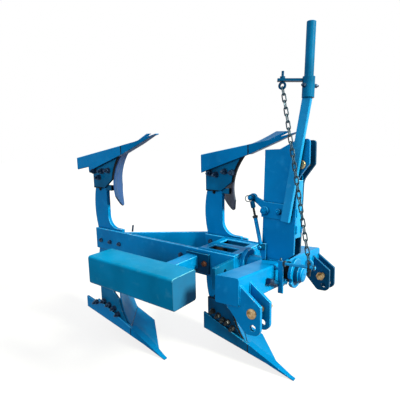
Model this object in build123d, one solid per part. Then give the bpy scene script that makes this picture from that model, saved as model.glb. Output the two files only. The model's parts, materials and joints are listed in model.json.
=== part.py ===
from build123d import *
import math
import os

# Two-furrow reversible mounted plough. Millimetres; +X is the travel direction, +Y left, +Z up.
# The model is drawn about the turnover axis, which lies along X, and set down on the floor at the end.

# Headstock attitude: it follows the tractor, which leans into the open furrow
HEAD_ROLL = 6.3
HEAD_LEAN = 3.2

# Three-point hitch
HITCH_SPAN = 683.0
HITCH_DROP = 65.0
SPARE_HOLE_STEP = 50.0
SPARE_HOLE_REACH = 4.0
LOWER_PIN_DIA = 22.0
TOP_PIN_DIA = 19.0
PIN_CLEARANCE = 0.25
CLEVIS_GAP = 56.0
LUG_PLATE = 14.0
LUG_NOSE = 33.0
LUG_SHOULDER = 38.0
LUG_NOSE_RADIUS = 26.0
LUG_TAIL = 60.0
PIN_HEAD_DIA = 36.0
PIN_HEAD_LENGTH = 8.0
PIN_TAIL = 14.0

# Cross beam and shaft housing
BEAM_OVERHANG = 49.0
BEAM_SECTION = 100.0
BEAM_WALL = 8.0
BEAM_SETBACK = 49.0
BEAM_CORNER = 8.0
SHAFT_DIA = 60.0
SHAFT_CLEARANCE = 0.3
HOUSING_DIA = 84.0
HOUSING_REAR = 226.0
RUNNING_GAP = 1.0

# Mast
MAST_GAP = 54.0
MAST_PLATE = 12.0
TOP_LINK_HEIGHT = 455.0
TOP_LINK_REACH = 26.0
MAST_SHOULDER = 67.0
MAST_EAR_RISE = 103.0
MAST_EAR_LENGTH = 100.0
MAST_EAR_DROP = 66.0
MAST_EAR_CORNER = 12.0
MAST_THROAT = 60.0
MAST_EAR_REACH = 58.0
MAST_FRONT = 8.0
MAST_REAR_TOP = 138.0
MAST_TOE_REACH = 46.0
MAST_TOE_HEIGHT = 33.0
STRIP_PLATE = 8.0
STRIP_FOOT = 150.0

# Turnover shaft end and latch
LOCK_DISC_DIA = 124.0
LOCK_DISC_PLATE = 14.0
LOCK_DISC_BACK = 17.0
COLLAR_DIA = 78.0
COLLAR_LENGTH = 18.0
NUT_DIA = 62.0
NUT_LENGTH = 12.0
PLUNGER_DIA = 24.0
PLUNGER_SIDE = 58.0
PLUNGER_DROP = 26.0
MOVING_CLEARANCE = 5.0
NOTCH_CLEARANCE = 1.0
LATCH_SIDE = 110.0
LATCH_WIDTH = 8.0
LATCH_PLATE = 22.0
LATCH_STANDOFF = 14.0
LATCH_TOP = 71.0
LATCH_BOTTOM = 62.0
LATCH_TAB_DROP = 40.0
LATCH_BAR_DIA = 12.0
LATCH_BAR_REACH = 118.0
LATCH_BAR_HEIGHT = 60.0
LATCH_EYE_REACH = 93.0
LATCH_EYE_DIA = 32.0
LATCH_EYE_HOLE = 16.0
LATCH_EYE_PLATE = 6.0

# Hand lever, its crank plate and link rod
LEVER_TILT = 9.8
LEVER_FOOT_X = -31.0
LEVER_FOOT_Z = 222.0
LEVER_SECTION = 36.0
LEVER_DEPTH = 20.0
LEVER_WALL = 3.0
LEVER_TUBE_LENGTH = 505.0
SOCKET_DIA = 48.0
SOCKET_LENGTH = 80.0
SOCKET_FLOOR = 10.0
SOCKET_LAP = 6.0
HANDLE_DIA = 36.0
HANDLE_WALL = 3.0
HANDLE_LENGTH = 272.0
HANDLE_BEND = 8.0
CRANK_PLATE = 12.0
CRANK_PIVOT = (-128.0, 262.0)
CRANK_BOLT = (-66.0, 260.0)
CRANK_EYE = (-189.0, 317.0)
CRANK_EYE_DIA = 36.0
CRANK_NECK = 22.0
CRANK_PIN_DIA = 16.0
PIVOT_HEAD_DIA = 38.0
BOLT_HEAD_DIA = 26.0
BOLT_HEAD_LENGTH = 12.0
ROD_FOOT = (-139.0, 106.0)
ROD_LUG_PLATE = 12.0
ROD_LUG_MARGIN = 2.0
ROD_EYE_DIA = 26.0
ROD_EYE_WIDTH = 24.0
ROD_TUBE_DIA = 17.0
ROD_THREAD_DIA = 11.0
ROD_THREAD_LENGTH = 70.0
ROD_NUT_DIA = 22.0
ROD_NUT_LENGTH = 12.0

# Release chain
CHAIN_ARM_DROP = 13.0
CHAIN_ARM_SWING = 30.0
CHAIN_ARM_LENGTH = 120.0
CHAIN_ARM_WIDTH = 24.0
CHAIN_ARM_PLATE = 10.0
CHAIN_BOLT_REACH = 100.0
CHAIN_BOLT_DIA = 10.0
CHAIN_BOLT_RISE = 30.0
CHAIN_NUT_DIA = 20.0
CHAIN_NUT_LENGTH = 9.0
CHAIN_LINKS = 25
CHAIN_WIRE = 7.0
CHAIN_WIDTH = 25.0
CHAIN_OUTER_CORNER = 7.5
CHAIN_INNER_CORNER = 3.0
CHAIN_WIRE_BEVEL = 1.75
CHAIN_GAP = 0.5

# Turning frame
FRAME_HEIGHT = 120.0
FRAME_PLATE = 18.0
RIGHT_BEAM_SIDE = 112.0
FRAME_FRONT = 246.0
CROSS_PLATE = 16.0
CROSS_SPACING = 190.0
LEFT_BEAM_LENGTH = 330.0
DECK_PLATE = 10.0
DECK_SLOT_WIDTH = 62.0
DECK_SLOT_SPACING = 105.0
DECK_SLOT_MARGIN = 34.0
FLANGE_DIA = 132.0
DIAGONAL_PLATE = 16.0
DIAGONAL_ANGLE = 35.5
STOP_ARM_REACH = 140.0
STOP_ARM_HEIGHT = 92.0
STOP_SLOT_DIA = 22.0
STOP_SLOT_LENGTH = 44.0
STOP_SLOT_SIDE = 67.0

# Ballast box on its arm
BOX_LENGTH = 497.0
BOX_WIDTH = 141.0
BOX_HEIGHT = 129.0
BOX_WALL = 4.0
BOX_CORNER = 12.0
BOX_CENTRE_X = -528.0
BOX_CENTRE_Y = -406.0
ARM_SECTION = 60.0
ARM_WALL = 5.0
ARM_X = -468.0
ARM_FLANGE_PLATE = 12.0
ARM_FLANGE_LENGTH = 130.0
ARM_FLANGE_HEIGHT = 92.0

# Plough bodies, measured from the share point: x along travel, y to the left, h above the furrow floor
TIP_DROP = 591.0
REAR_TIP_X = -677.0
REAR_SIDE_Y = -120.0
BODY_SPACING = 622.0
FURROW_STEP = 235.0
LANDSIDE_PLATE = 14.0
LANDSIDE_FRONT = 253.0
LANDSIDE_REAR = 535.0
LANDSIDE_TOE = 58.0
LANDSIDE_TOE_HEIGHT = 48.0
LANDSIDE_PITCH = 10.8
LANDSIDE_TALL = 94.0
HEEL_LENGTH = 105.0
HEEL_HEIGHT = 68.0
FROG_PLATE = 12.0
SHANK_PLATE = 22.0
SHANK_REAR = 515.0
SHANK_WIDTH = 95.0
SHANK_LOW = 190.0
SHANK_FOOT = 205.0
SHANK_FILLET = 70.0
SHANK_BOW = 16.0
POINT_WIDTH = 40.0
POINT_LENGTH = 150.0
POINT_PLATE = 20.0
POINT_TIP_WIDTH = 22.0
POINT_TAPER = 120.0
SHARE_CUT = 228.0
SHARE_FLAT = 95.0
SHARE_WING_RISE = 48.0
SHARE_ANGLE = 40.5
SHARE_PLATE = 12.0
SHARE_NOSE = 22.0
JOINT_HEIGHT = 100.0
JOINT_GAP = 0.3
MOLD_PLATE = 8.0
MOLD_ANGLE_LOW = 51.0
MOLD_ANGLE_TOP = 44.0
MOLD_WING = 287.0
MOLD_TAIL = 480.0
MOLD_SHIN_TOP = 335.0
MOLD_TAIL_TOP = 330.0
MOLD_CROWN = 85.0
MOLD_ROWS = 13
MOLD_COLUMNS = 11
SHIN_BACK = 322.0
SHIN_TURN = 270.0
SHIN_REACH = 179.3
FROG_TOP = 245.0
FROG_STEPS = 7
STAY_HEIGHT = 30.0
STAY_LEVEL = 294.0
STAY_GAP = 0.6

BEAM_LENGTH = HITCH_SPAN + 2 * BEAM_OVERHANG
MAST_TOP = TOP_LINK_HEIGHT + MAST_SHOULDER
MAST_EAR_TOP = TOP_LINK_HEIGHT + MAST_EAR_RISE
MAST_THROAT_TOP = MAST_EAR_TOP - MAST_EAR_LENGTH - MAST_EAR_DROP
HEAD = Rot(X=-HEAD_ROLL) * Rot(Y=-HEAD_LEAN)
BEAM_X = -BEAM_SETBACK - BEAM_SECTION / 2
CLEVIS_OFFSET = CLEVIS_GAP / 2 + LUG_PLATE
MAST_HALF = MAST_GAP / 2 + MAST_PLATE
LEVER_Y = -MAST_HALF - CRANK_PLATE - LEVER_DEPTH / 2
SHANK_Y = LANDSIDE_PLATE + FROG_PLATE
SHIN_SIDE = LANDSIDE_PLATE + MOLD_PLATE
SHARE_REACH = LANDSIDE_FRONT + SHARE_CUT
FRAME_TOP = FRAME_HEIGHT / 2


def block(x, y, z):
    """A box between pairs of limits along each axis."""
    size = Box(x[1] - x[0], y[1] - y[0], z[1] - z[0])
    return Pos((x[0] + x[1]) / 2, (y[0] + y[1]) / 2, (z[0] + z[1]) / 2) * size


def plate_xz(points, y, thickness):
    """A plate drawn from the side, its right face at y."""
    outline = make_face(Polyline(*[(x, y, z) for x, z in points], close=True))
    return extrude(outline, amount=thickness, dir=(0, 1, 0))


def plate_xy(points, z, thickness):
    """A plate drawn from above, its lower face at z."""
    outline = make_face(Polyline(*[(x, y, z) for x, y in points], close=True))
    return extrude(outline, amount=thickness, dir=(0, 0, 1))


def rod_x(dia, x, y, z):
    return Pos((x[0] + x[1]) / 2, y, z) * Rot(Y=90) * Cylinder(dia / 2, x[1] - x[0])


def rod_y(dia, x, y, z):
    return Pos(x, (y[0] + y[1]) / 2, z) * Rot(X=90) * Cylinder(dia / 2, y[1] - y[0])


def slab_edges(part, axis):
    return part.edges().filter_by(axis)


def mirrored_y(part):
    return mirror(part, about=Plane.XZ)


# Headstock, in its own frame about the turnover axis

def housing_bore():
    return rod_x(HOUSING_DIA, (-HOUSING_REAR, 0), 0, 0)


def cross_beam():
    half = BEAM_SECTION / 2
    shell = block((BEAM_X - half, BEAM_X + half), (-BEAM_LENGTH / 2, BEAM_LENGTH / 2), (-half, half))
    shell = fillet(slab_edges(shell, Axis.Y), BEAM_CORNER)
    inner = half - BEAM_WALL
    length = BEAM_LENGTH / 2 - BEAM_WALL
    shell -= block((BEAM_X - inner, BEAM_X + inner), (-length, length), (-inner, inner))
    bore = PLUNGER_DIA + 2 * PIN_CLEARANCE
    shell -= rod_x(bore, (BEAM_X, -BEAM_SETBACK), -PLUNGER_SIDE, -PLUNGER_DROP)
    return HEAD * shell - housing_bore()


def lug_plate(y):
    """One clevis plate, notched over the front lower corner of the beam."""
    half = BEAM_SECTION / 2
    front = -BEAM_SETBACK
    low = -HITCH_DROP - SPARE_HOLE_STEP
    outline = [
        (front, half - LUG_NOSE_RADIUS),
        (LUG_NOSE, -LUG_SHOULDER),
        (LUG_NOSE, low - LUG_NOSE_RADIUS),
        (-LUG_NOSE_RADIUS, low - LUG_NOSE_RADIUS),
        (front - LUG_TAIL, -half),
        (front, -half),
    ]
    plate = plate_xz(outline, y, LUG_PLATE)
    nose = slab_edges(plate, Axis.Y).group_by(Axis.Z)[0]
    plate = fillet(nose, LUG_NOSE_RADIUS)
    bore = LOWER_PIN_DIA + 2 * PIN_CLEARANCE
    for x, z in lower_holes():
        plate -= rod_y(bore, x, (y, y + LUG_PLATE), z)
    return plate


def lower_holes():
    return [(0.0, -HITCH_DROP), (SPARE_HOLE_REACH, -HITCH_DROP - SPARE_HOLE_STEP)]


def hitch_lugs(side):
    centre = side * HITCH_SPAN / 2
    inner = lug_plate(centre - CLEVIS_OFFSET)
    outer = lug_plate(centre + CLEVIS_GAP / 2)
    return HEAD * Compound(children=[inner, outer])


def hitch_pin(side):
    """A headed pin through both clevis plates, its head on the outside."""
    x, z = lower_holes()[0]
    reach = CLEVIS_OFFSET
    pin = rod_y(LOWER_PIN_DIA, x, (-reach - PIN_TAIL, reach), z)
    pin += rod_y(PIN_HEAD_DIA, x, (reach, reach + PIN_HEAD_LENGTH), z)
    if side < 0:
        pin = mirrored_y(pin)
    return HEAD * Pos(0, side * HITCH_SPAN / 2, 0) * pin


def mast_outline():
    beam_top = BEAM_SECTION / 2
    rear = BEAM_SETBACK + BEAM_SECTION
    return [
        (-rear, beam_top),
        (-MAST_REAR_TOP, MAST_TOP),
        (-MAST_REAR_TOP / 2, MAST_TOP),
        (MAST_FRONT, MAST_EAR_TOP),
        (MAST_EAR_REACH, MAST_EAR_TOP),
        (MAST_EAR_REACH, MAST_EAR_TOP - MAST_EAR_LENGTH),
        (MAST_FRONT, MAST_THROAT_TOP),
        (-BEAM_SETBACK + MAST_TOE_REACH, beam_top + MAST_TOE_HEIGHT),
        (-BEAM_SETBACK, beam_top),
    ]


def mast_plate(side):
    plate = plate_xz(mast_outline(), MAST_GAP / 2, MAST_PLATE)
    throat = slab_edges(plate, Axis.Y).sort_by_distance((MAST_FRONT, MAST_HALF, MAST_THROAT_TOP))[0]
    plate = fillet(throat, MAST_THROAT)
    ear = slab_edges(plate, Axis.Y).group_by(Axis.X)[-1]
    plate = fillet(ear, MAST_EAR_CORNER)
    bore = TOP_PIN_DIA + 2 * PIN_CLEARANCE
    plate -= rod_y(bore, TOP_LINK_REACH, (0, MAST_HALF), TOP_LINK_HEIGHT)
    pivot = CRANK_PIN_DIA + 2 * PIN_CLEARANCE
    if side < 0:
        for x, z in (CRANK_PIVOT, CRANK_BOLT):
            plate -= rod_y(pivot, x, (0, MAST_HALF), z)
        plate = mirrored_y(plate)
    return HEAD * plate


def mast_front_plate():
    """Strip between the mast plates, open above the beam where the shaft is reached."""
    top = MAST_THROAT_TOP
    foot_x = -BEAM_SETBACK + MAST_TOE_REACH
    foot_z = BEAM_SECTION / 2 + MAST_TOE_HEIGHT
    slope = (MAST_FRONT - foot_x) / (top - foot_z)
    start_x = foot_x + slope * (STRIP_FOOT - foot_z)
    outline = [
        (start_x - STRIP_PLATE, STRIP_FOOT),
        (start_x, STRIP_FOOT),
        (MAST_FRONT, top),
        (MAST_FRONT - STRIP_PLATE, top),
    ]
    return HEAD * plate_xz(outline, -MAST_GAP / 2, MAST_GAP)


def top_link_pin():
    reach = MAST_HALF
    pin = rod_y(TOP_PIN_DIA, TOP_LINK_REACH, (-reach, reach + PIN_TAIL), TOP_LINK_HEIGHT)
    pin += rod_y(PIN_HEAD_DIA, TOP_LINK_REACH, (-reach - PIN_HEAD_LENGTH, -reach), TOP_LINK_HEIGHT)
    return HEAD * pin


def shaft_housing():
    front = -LOCK_DISC_BACK - RUNNING_GAP
    sleeve = rod_x(HOUSING_DIA, (-HOUSING_REAR, front), 0, 0)
    return sleeve - rod_x(SHAFT_DIA + 2 * SHAFT_CLEARANCE, (-HOUSING_REAR, front), 0, 0)


# Latch that holds the turnover shaft

LATCH_X = -BEAM_SETBACK + LATCH_STANDOFF


def latch_plate():
    """Upright flat bar in front of the beam, with a tab back to the beam at its top."""
    side = (-LATCH_SIDE - LATCH_WIDTH / 2, -LATCH_SIDE + LATCH_WIDTH / 2)
    bar = block((LATCH_X, LATCH_X + LATCH_PLATE), side, (-LATCH_BOTTOM, LATCH_TOP))
    tab_low = LATCH_TOP - LATCH_TAB_DROP
    bar += block((-BEAM_SETBACK, LATCH_X), side, (tab_low, BEAM_SECTION / 2 - BEAM_CORNER))
    return HEAD * bar


def latch_plunger():
    """Round plunger out of the beam, with the cross pin that the latch plate pulls."""
    tip = -LOCK_DISC_BACK - MOVING_CLEARANCE
    start = -BEAM_SETBACK - BEAM_WALL
    pin = rod_x(PLUNGER_DIA, (start, tip), -PLUNGER_SIDE, -PLUNGER_DROP)
    cross_x = LATCH_X + LATCH_PLATE / 2
    cross = (-LATCH_SIDE + LATCH_WIDTH / 2, -PLUNGER_SIDE)
    pin += rod_y(LATCH_BAR_DIA, cross_x, cross, -PLUNGER_DROP)
    return HEAD * pin


def latch_bar():
    """Release bar pointing forward, with an eye plate for the chain."""
    start = LATCH_X + LATCH_PLATE
    z = LATCH_BAR_HEIGHT
    bar = rod_x(LATCH_BAR_DIA, (start, LATCH_BAR_REACH), -LATCH_SIDE, z)
    width = (-LATCH_SIDE - LATCH_EYE_PLATE / 2, -LATCH_SIDE + LATCH_EYE_PLATE / 2)
    eye = rod_y(LATCH_EYE_DIA, LATCH_EYE_REACH, width, latch_eye_height())
    across = (-LATCH_SIDE - LATCH_BAR_DIA, -LATCH_SIDE + LATCH_BAR_DIA)
    hole = rod_y(LATCH_EYE_HOLE, LATCH_EYE_REACH, across, latch_eye_height())
    return HEAD * (bar + eye - hole)


def latch_eye_height():
    return LATCH_BAR_HEIGHT + LATCH_BAR_DIA / 2 + LATCH_EYE_HOLE / 2


# Hand lever

def lever_place():
    """Local frame of the lever: z along the tube, y across it, from the tube's foot."""
    return Pos(LEVER_FOOT_X, LEVER_Y, LEVER_FOOT_Z) * Rot(Y=LEVER_TILT)


def lever_tube():
    outer = Pos(0, 0, LEVER_TUBE_LENGTH / 2) * Box(LEVER_SECTION, LEVER_DEPTH, LEVER_TUBE_LENGTH)
    outer = fillet(slab_edges(outer, Axis.Z), LEVER_WALL)
    bore = Box(LEVER_SECTION - 2 * LEVER_WALL, LEVER_DEPTH - 2 * LEVER_WALL, LEVER_TUBE_LENGTH)
    return HEAD * lever_place() * (outer - Pos(0, 0, LEVER_TUBE_LENGTH / 2) * bore)


def handle_place():
    """Local frame of the handle, which stands more upright than the tube, from the socket's floor."""
    return lever_place() * Pos(0, 0, LEVER_TUBE_LENGTH + SOCKET_FLOOR) * Rot(Y=-HANDLE_BEND)


def lever_socket():
    """Round socket on the handle's axis, let over the tube's end and bored for the handle."""
    middle = Pos(0, 0, SOCKET_LENGTH / 2 - SOCKET_FLOOR - SOCKET_LAP)
    socket = handle_place() * middle * Cylinder(SOCKET_DIA / 2, SOCKET_LENGTH)
    end = Box(LEVER_SECTION, LEVER_DEPTH, LEVER_TUBE_LENGTH)
    socket -= lever_place() * Pos(0, 0, LEVER_TUBE_LENGTH / 2) * end
    bore = Cylinder(HANDLE_DIA / 2 + PIN_CLEARANCE, SOCKET_LENGTH)
    return HEAD * (socket - handle_place() * Pos(0, 0, SOCKET_LENGTH / 2) * bore)


def lever_handle():
    tube = Cylinder(HANDLE_DIA / 2, HANDLE_LENGTH)
    tube -= Cylinder(HANDLE_DIA / 2 - HANDLE_WALL, HANDLE_LENGTH)
    return HEAD * handle_place() * Pos(0, 0, HANDLE_LENGTH / 2) * tube


def arm_place():
    """Local frame of the chain arm: x back along the arm, from the socket's axis at the arm's level."""
    level = SOCKET_LENGTH - SOCKET_FLOOR - SOCKET_LAP - CHAIN_ARM_DROP
    return handle_place() * Pos(0, 0, level) * Rot(Z=180 + CHAIN_ARM_SWING)


def chain_arm():
    """Flat bar from the back of the socket, swung outwards, with the eye bolt that the chain hangs on."""
    half = CHAIN_ARM_WIDTH / 2
    root = SOCKET_DIA / 2
    bar = block((root - half, CHAIN_ARM_LENGTH), (-half, half), (-CHAIN_ARM_PLATE / 2, CHAIN_ARM_PLATE / 2))
    bar -= Cylinder(root, CHAIN_ARM_WIDTH)
    bolt_top = CHAIN_ARM_PLATE / 2 + CHAIN_BOLT_RISE
    bolt_foot = -chain_eye_drop() + LATCH_EYE_HOLE / 2
    bolt = Pos(CHAIN_BOLT_REACH, 0, (bolt_top + bolt_foot) / 2)
    bar += bolt * Cylinder(CHAIN_BOLT_DIA / 2, bolt_top - bolt_foot)
    nut = Pos(CHAIN_BOLT_REACH, 0, CHAIN_ARM_PLATE / 2 + CHAIN_NUT_LENGTH / 2)
    bar += nut * Cylinder(CHAIN_NUT_DIA / 2, CHAIN_NUT_LENGTH)
    eye = Rot(Z=-CHAIN_ARM_SWING) * Rot(X=90) * Cylinder(LATCH_EYE_DIA / 2, LATCH_EYE_PLATE)
    hole = Rot(Z=-CHAIN_ARM_SWING) * Rot(X=90) * Cylinder(LATCH_EYE_HOLE / 2, CHAIN_NUT_DIA)
    seat = Pos(CHAIN_BOLT_REACH, 0, -chain_eye_drop())
    return HEAD * arm_place() * (bar + seat * eye - seat * hole)


def chain_eye_drop():
    """Depth of the eye's centre under the arm's middle."""
    return CHAIN_ARM_PLATE / 2 + LATCH_EYE_DIA / 2


def crank_plate():
    """Plate on the mast that joins the lever's foot to the link rod."""
    tilt = math.tan(math.radians(LEVER_TILT))
    low = CRANK_PIVOT[1] - PIVOT_HEAD_DIA
    high = CRANK_PIVOT[1] + PIVOT_HEAD_DIA
    front_low = LEVER_FOOT_X + tilt * (low - LEVER_FOOT_Z)
    front_high = LEVER_FOOT_X + tilt * (high - LEVER_FOOT_Z)
    eye_x, eye_z = CRANK_EYE
    neck = CRANK_NECK / 2
    heel = CRANK_PIVOT[0] - PIVOT_HEAD_DIA / 2
    outline = [
        (eye_x, eye_z - neck),
        (heel, CRANK_PIVOT[1] + neck),
        (heel, low + neck),
        (front_low, low),
        (front_high, high - neck),
        (CRANK_PIVOT[0], high),
        (eye_x, eye_z + neck),
    ]
    y = -MAST_HALF - CRANK_PLATE
    plate = plate_xz(outline, y, CRANK_PLATE)
    plate += rod_y(CRANK_EYE_DIA, eye_x, (y, -MAST_HALF), eye_z)
    bore = CRANK_PIN_DIA + 2 * PIN_CLEARANCE
    for x, z in (CRANK_PIVOT, CRANK_BOLT):
        plate -= rod_y(bore, x, (y, -MAST_HALF), z)
    plate += rod_y(CRANK_PIN_DIA, eye_x, (y - ROD_EYE_WIDTH - BOLT_HEAD_LENGTH / 2, y), eye_z)
    return HEAD * plate


def crank_bolts():
    """Pivot bolt and its neighbour through the crank and the mast's right plate."""
    y = -MAST_HALF - CRANK_PLATE
    heads = ((CRANK_PIVOT, PIVOT_HEAD_DIA), (CRANK_BOLT, BOLT_HEAD_DIA))
    bolts = []
    for (x, z), head in heads:
        bolt = rod_y(CRANK_PIN_DIA, x, (y, -MAST_GAP / 2), z)
        bolt += rod_y(head, x, (y - BOLT_HEAD_LENGTH, y), z)
        bolts.append(bolt)
    return HEAD * Compound(children=bolts)


def rod_place():
    """Local frame of the link rod: z from its lower eye to the crank's eye."""
    dx = CRANK_EYE[0] - ROD_FOOT[0]
    dz = CRANK_EYE[1] - ROD_FOOT[1]
    y = -MAST_HALF - CRANK_PLATE - ROD_EYE_WIDTH / 2
    tilt = math.degrees(math.atan2(dx, dz))
    return Pos(ROD_FOOT[0], y, ROD_FOOT[1]) * Rot(Y=tilt), math.hypot(dx, dz)


def link_rod():
    """Rod eye, threaded stem, lock nut and tube, ending in a lower eye."""
    place, length = rod_place()
    half = ROD_EYE_WIDTH / 2
    rod = rod_y(ROD_EYE_DIA, 0, (-half, half), 0)
    rod += rod_y(ROD_EYE_DIA, 0, (-half, half), length)
    stem = length - ROD_EYE_DIA / 2 - ROD_THREAD_LENGTH
    rod += Pos(0, 0, stem / 2) * Cylinder(ROD_TUBE_DIA / 2, stem)
    rod += Pos(0, 0, (stem + length) / 2) * Cylinder(ROD_THREAD_DIA / 2, length - stem)
    rod += Pos(0, 0, stem + ROD_NUT_LENGTH / 2) * Cylinder(ROD_NUT_DIA / 2, ROD_NUT_LENGTH)
    bore = CRANK_PIN_DIA + 2 * PIN_CLEARANCE
    for z in (0, length):
        rod -= rod_y(bore, 0, (-half, half), z)
    return HEAD * place * rod


def rod_lug():
    """Plate standing on the beam with the pin of the link rod's lower eye."""
    x, z = ROD_FOOT
    y = -MAST_HALF - CRANK_PLATE
    reach = ROD_EYE_DIA / 2 + ROD_LUG_MARGIN
    outline = [
        (-BEAM_SETBACK - BEAM_SECTION + BEAM_CORNER, BEAM_SECTION / 2),
        (x - reach, z - reach),
        (x - reach, z + reach),
        (x + reach, z + reach),
        (x + reach, BEAM_SECTION / 2),
    ]
    lug = plate_xz(outline, y, ROD_LUG_PLATE)
    lug += rod_y(CRANK_PIN_DIA, x, (y - ROD_EYE_WIDTH - BOLT_HEAD_LENGTH / 2, y), z)
    return HEAD * lug


# Release chain

def chain_link(inner_length):
    """One flat-sided link, long in z and lying in the XZ plane, with its corners taken off."""
    def ring(length, width, corner):
        x, z = width / 2, length / 2
        return [
            (-x, z - corner), (-x + corner, z), (x - corner, z), (x, z - corner),
            (x, -z + corner), (x - corner, -z), (-x + corner, -z), (-x, -z + corner),
        ]
    outer = ring(inner_length + 2 * CHAIN_WIRE, CHAIN_WIDTH, CHAIN_OUTER_CORNER)
    inner = ring(inner_length, CHAIN_WIDTH - 2 * CHAIN_WIRE, CHAIN_INNER_CORNER)
    link = plate_xz(outer, -CHAIN_WIRE / 2, CHAIN_WIRE) - plate_xz(inner, -CHAIN_WIRE / 2, CHAIN_WIRE)
    return chamfer(link.faces().filter_by(Axis.Y).edges(), CHAIN_WIRE_BEVEL)


def release_chain():
    """Links from the arm's eye down to the eye on the release bar, each a quarter turn from the last."""
    top = (arm_place() * Pos(CHAIN_BOLT_REACH, 0, -chain_eye_drop())).position
    bottom = Vector(LATCH_EYE_REACH, -LATCH_SIDE, latch_eye_height())
    run = bottom - top
    seat = LATCH_EYE_HOLE / 2 - CHAIN_GAP
    inner_length = (run.length - 2 * seat + CHAIN_GAP * (CHAIN_LINKS - 1)) / CHAIN_LINKS
    pitch = inner_length - CHAIN_GAP
    link = chain_link(inner_length)
    along = run.normalized()
    plane = Plane(origin=top, x_dir=(1, 0, -along.X / along.Z), z_dir=-along)
    links = []
    for index in range(CHAIN_LINKS):
        drop = inner_length / 2 + seat + index * pitch
        links.append(HEAD * plane.location * Pos(0, 0, -drop) * Rot(Z=90 * ((index + 1) % 2)) * link)
    return Compound(children=links)


# Turning frame

def turnover_shaft():
    """Shaft from the rear flange to the nut, with the lock disc and collar on its front end."""
    disc_front = -LOCK_DISC_BACK + LOCK_DISC_PLATE
    collar_front = disc_front + COLLAR_LENGTH
    shaft = rod_x(SHAFT_DIA, (-FRAME_FRONT, collar_front), 0, 0)
    shaft += rod_x(LOCK_DISC_DIA, (-LOCK_DISC_BACK, disc_front), 0, 0)
    shaft += rod_x(COLLAR_DIA, (disc_front, collar_front), 0, 0)
    shaft += rod_x(NUT_DIA, (collar_front, collar_front + NUT_LENGTH), 0, 0)
    radius = math.hypot(PLUNGER_SIDE, PLUNGER_DROP)
    seat = math.degrees(math.atan2(-PLUNGER_DROP, -PLUNGER_SIDE)) - HEAD_ROLL
    for angle in (seat, seat + 180 + 2 * HEAD_ROLL):
        y = radius * math.cos(math.radians(angle))
        z = radius * math.sin(math.radians(angle))
        shaft -= rod_x(PLUNGER_DIA + 2 * NOTCH_CLEARANCE, (-LOCK_DISC_BACK, disc_front), y, z)
    return shaft


def rear_flange():
    """Disc that joins the shaft to the front of the turning frame."""
    back = -FRAME_FRONT
    front = -HOUSING_REAR - RUNNING_GAP
    return rod_x(FLANGE_DIA, (back, front), 0, 0) - rod_x(SHAFT_DIA, (back, front), 0, 0)


def frame_beam_right():
    rear = REAR_TIP_X - SHANK_REAR
    inner = -RIGHT_BEAM_SIDE + FRAME_PLATE
    return block((rear, -FRAME_FRONT), (-RIGHT_BEAM_SIDE, inner), (-FRAME_TOP, FRAME_TOP))


def frame_beam_left():
    inner = front_shank_face() - FRAME_PLATE
    rear = -FRAME_FRONT - LEFT_BEAM_LENGTH
    return block((rear, -FRAME_FRONT), (inner, front_shank_face()), (-FRAME_TOP, FRAME_TOP))


def front_shank_face():
    """Right face of the front shanks, where the left beam lies."""
    return REAR_SIDE_Y + FURROW_STEP + SHANK_Y


def deck_span():
    """Sideways limits of what lies between the two beams."""
    return (-RIGHT_BEAM_SIDE + FRAME_PLATE, front_shank_face() - FRAME_PLATE)


def cross_plate(front):
    high = FRAME_TOP - DECK_PLATE
    return block((front - CROSS_PLATE, front), deck_span(), (-high, high))


def deck_plate(low):
    """Plate over or under the cross plates, with two slots."""
    span = deck_span()
    rear = -FRAME_FRONT - CROSS_SPACING - CROSS_PLATE
    plate = block((rear, -FRAME_FRONT), span, (low, low + DECK_PLATE))
    cut = (rear + DECK_SLOT_MARGIN, -FRAME_FRONT - DECK_SLOT_MARGIN)
    for side in (-1, 1):
        near = (span[0] + span[1]) / 2 + side * DECK_SLOT_SPACING / 2
        slot = (near - DECK_SLOT_WIDTH / 2, near + DECK_SLOT_WIDTH / 2)
        plate -= block(cut, slot, (low, low + DECK_PLATE))
    return plate


def frame_diagonal():
    """Bent plate from behind the right beam to the far side of the front shanks."""
    inner = -RIGHT_BEAM_SIDE + FRAME_PLATE
    far = front_shank_face() + SHANK_PLATE
    start = REAR_TIP_X - SHANK_REAR + SHANK_FOOT + DIAGONAL_PLATE
    run = 1 / math.tan(math.radians(DIAGONAL_ANGLE))
    width = DIAGONAL_PLATE / math.sin(math.radians(DIAGONAL_ANGLE))
    front = -FRAME_FRONT - CROSS_SPACING / 2
    outline = [
        (start, inner),
        (start + width, inner),
        (start + width + (far - inner) * run, far),
        (front, far),
        (front, far + DIAGONAL_PLATE),
        (start + (far + DIAGONAL_PLATE - inner) * run, far + DIAGONAL_PLATE),
    ]
    return plate_xy(outline, -FRAME_TOP, FRAME_HEIGHT)


def stop_arm():
    """Lug beside the front of the right beam, slotted for the turning stop."""
    x = (-FRAME_FRONT - CROSS_PLATE, -FRAME_FRONT)
    y = (-RIGHT_BEAM_SIDE - STOP_ARM_REACH, -RIGHT_BEAM_SIDE)
    arm = block(x, y, (-STOP_ARM_HEIGHT / 2, STOP_ARM_HEIGHT / 2))
    slot = SlotOverall(STOP_SLOT_LENGTH, STOP_SLOT_DIA, rotation=90)
    centre = -RIGHT_BEAM_SIDE - STOP_SLOT_SIDE
    cutter = extrude(Plane.YZ.offset(x[0]) * Pos(centre, 0) * slot, amount=CROSS_PLATE)
    return arm - cutter


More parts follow.
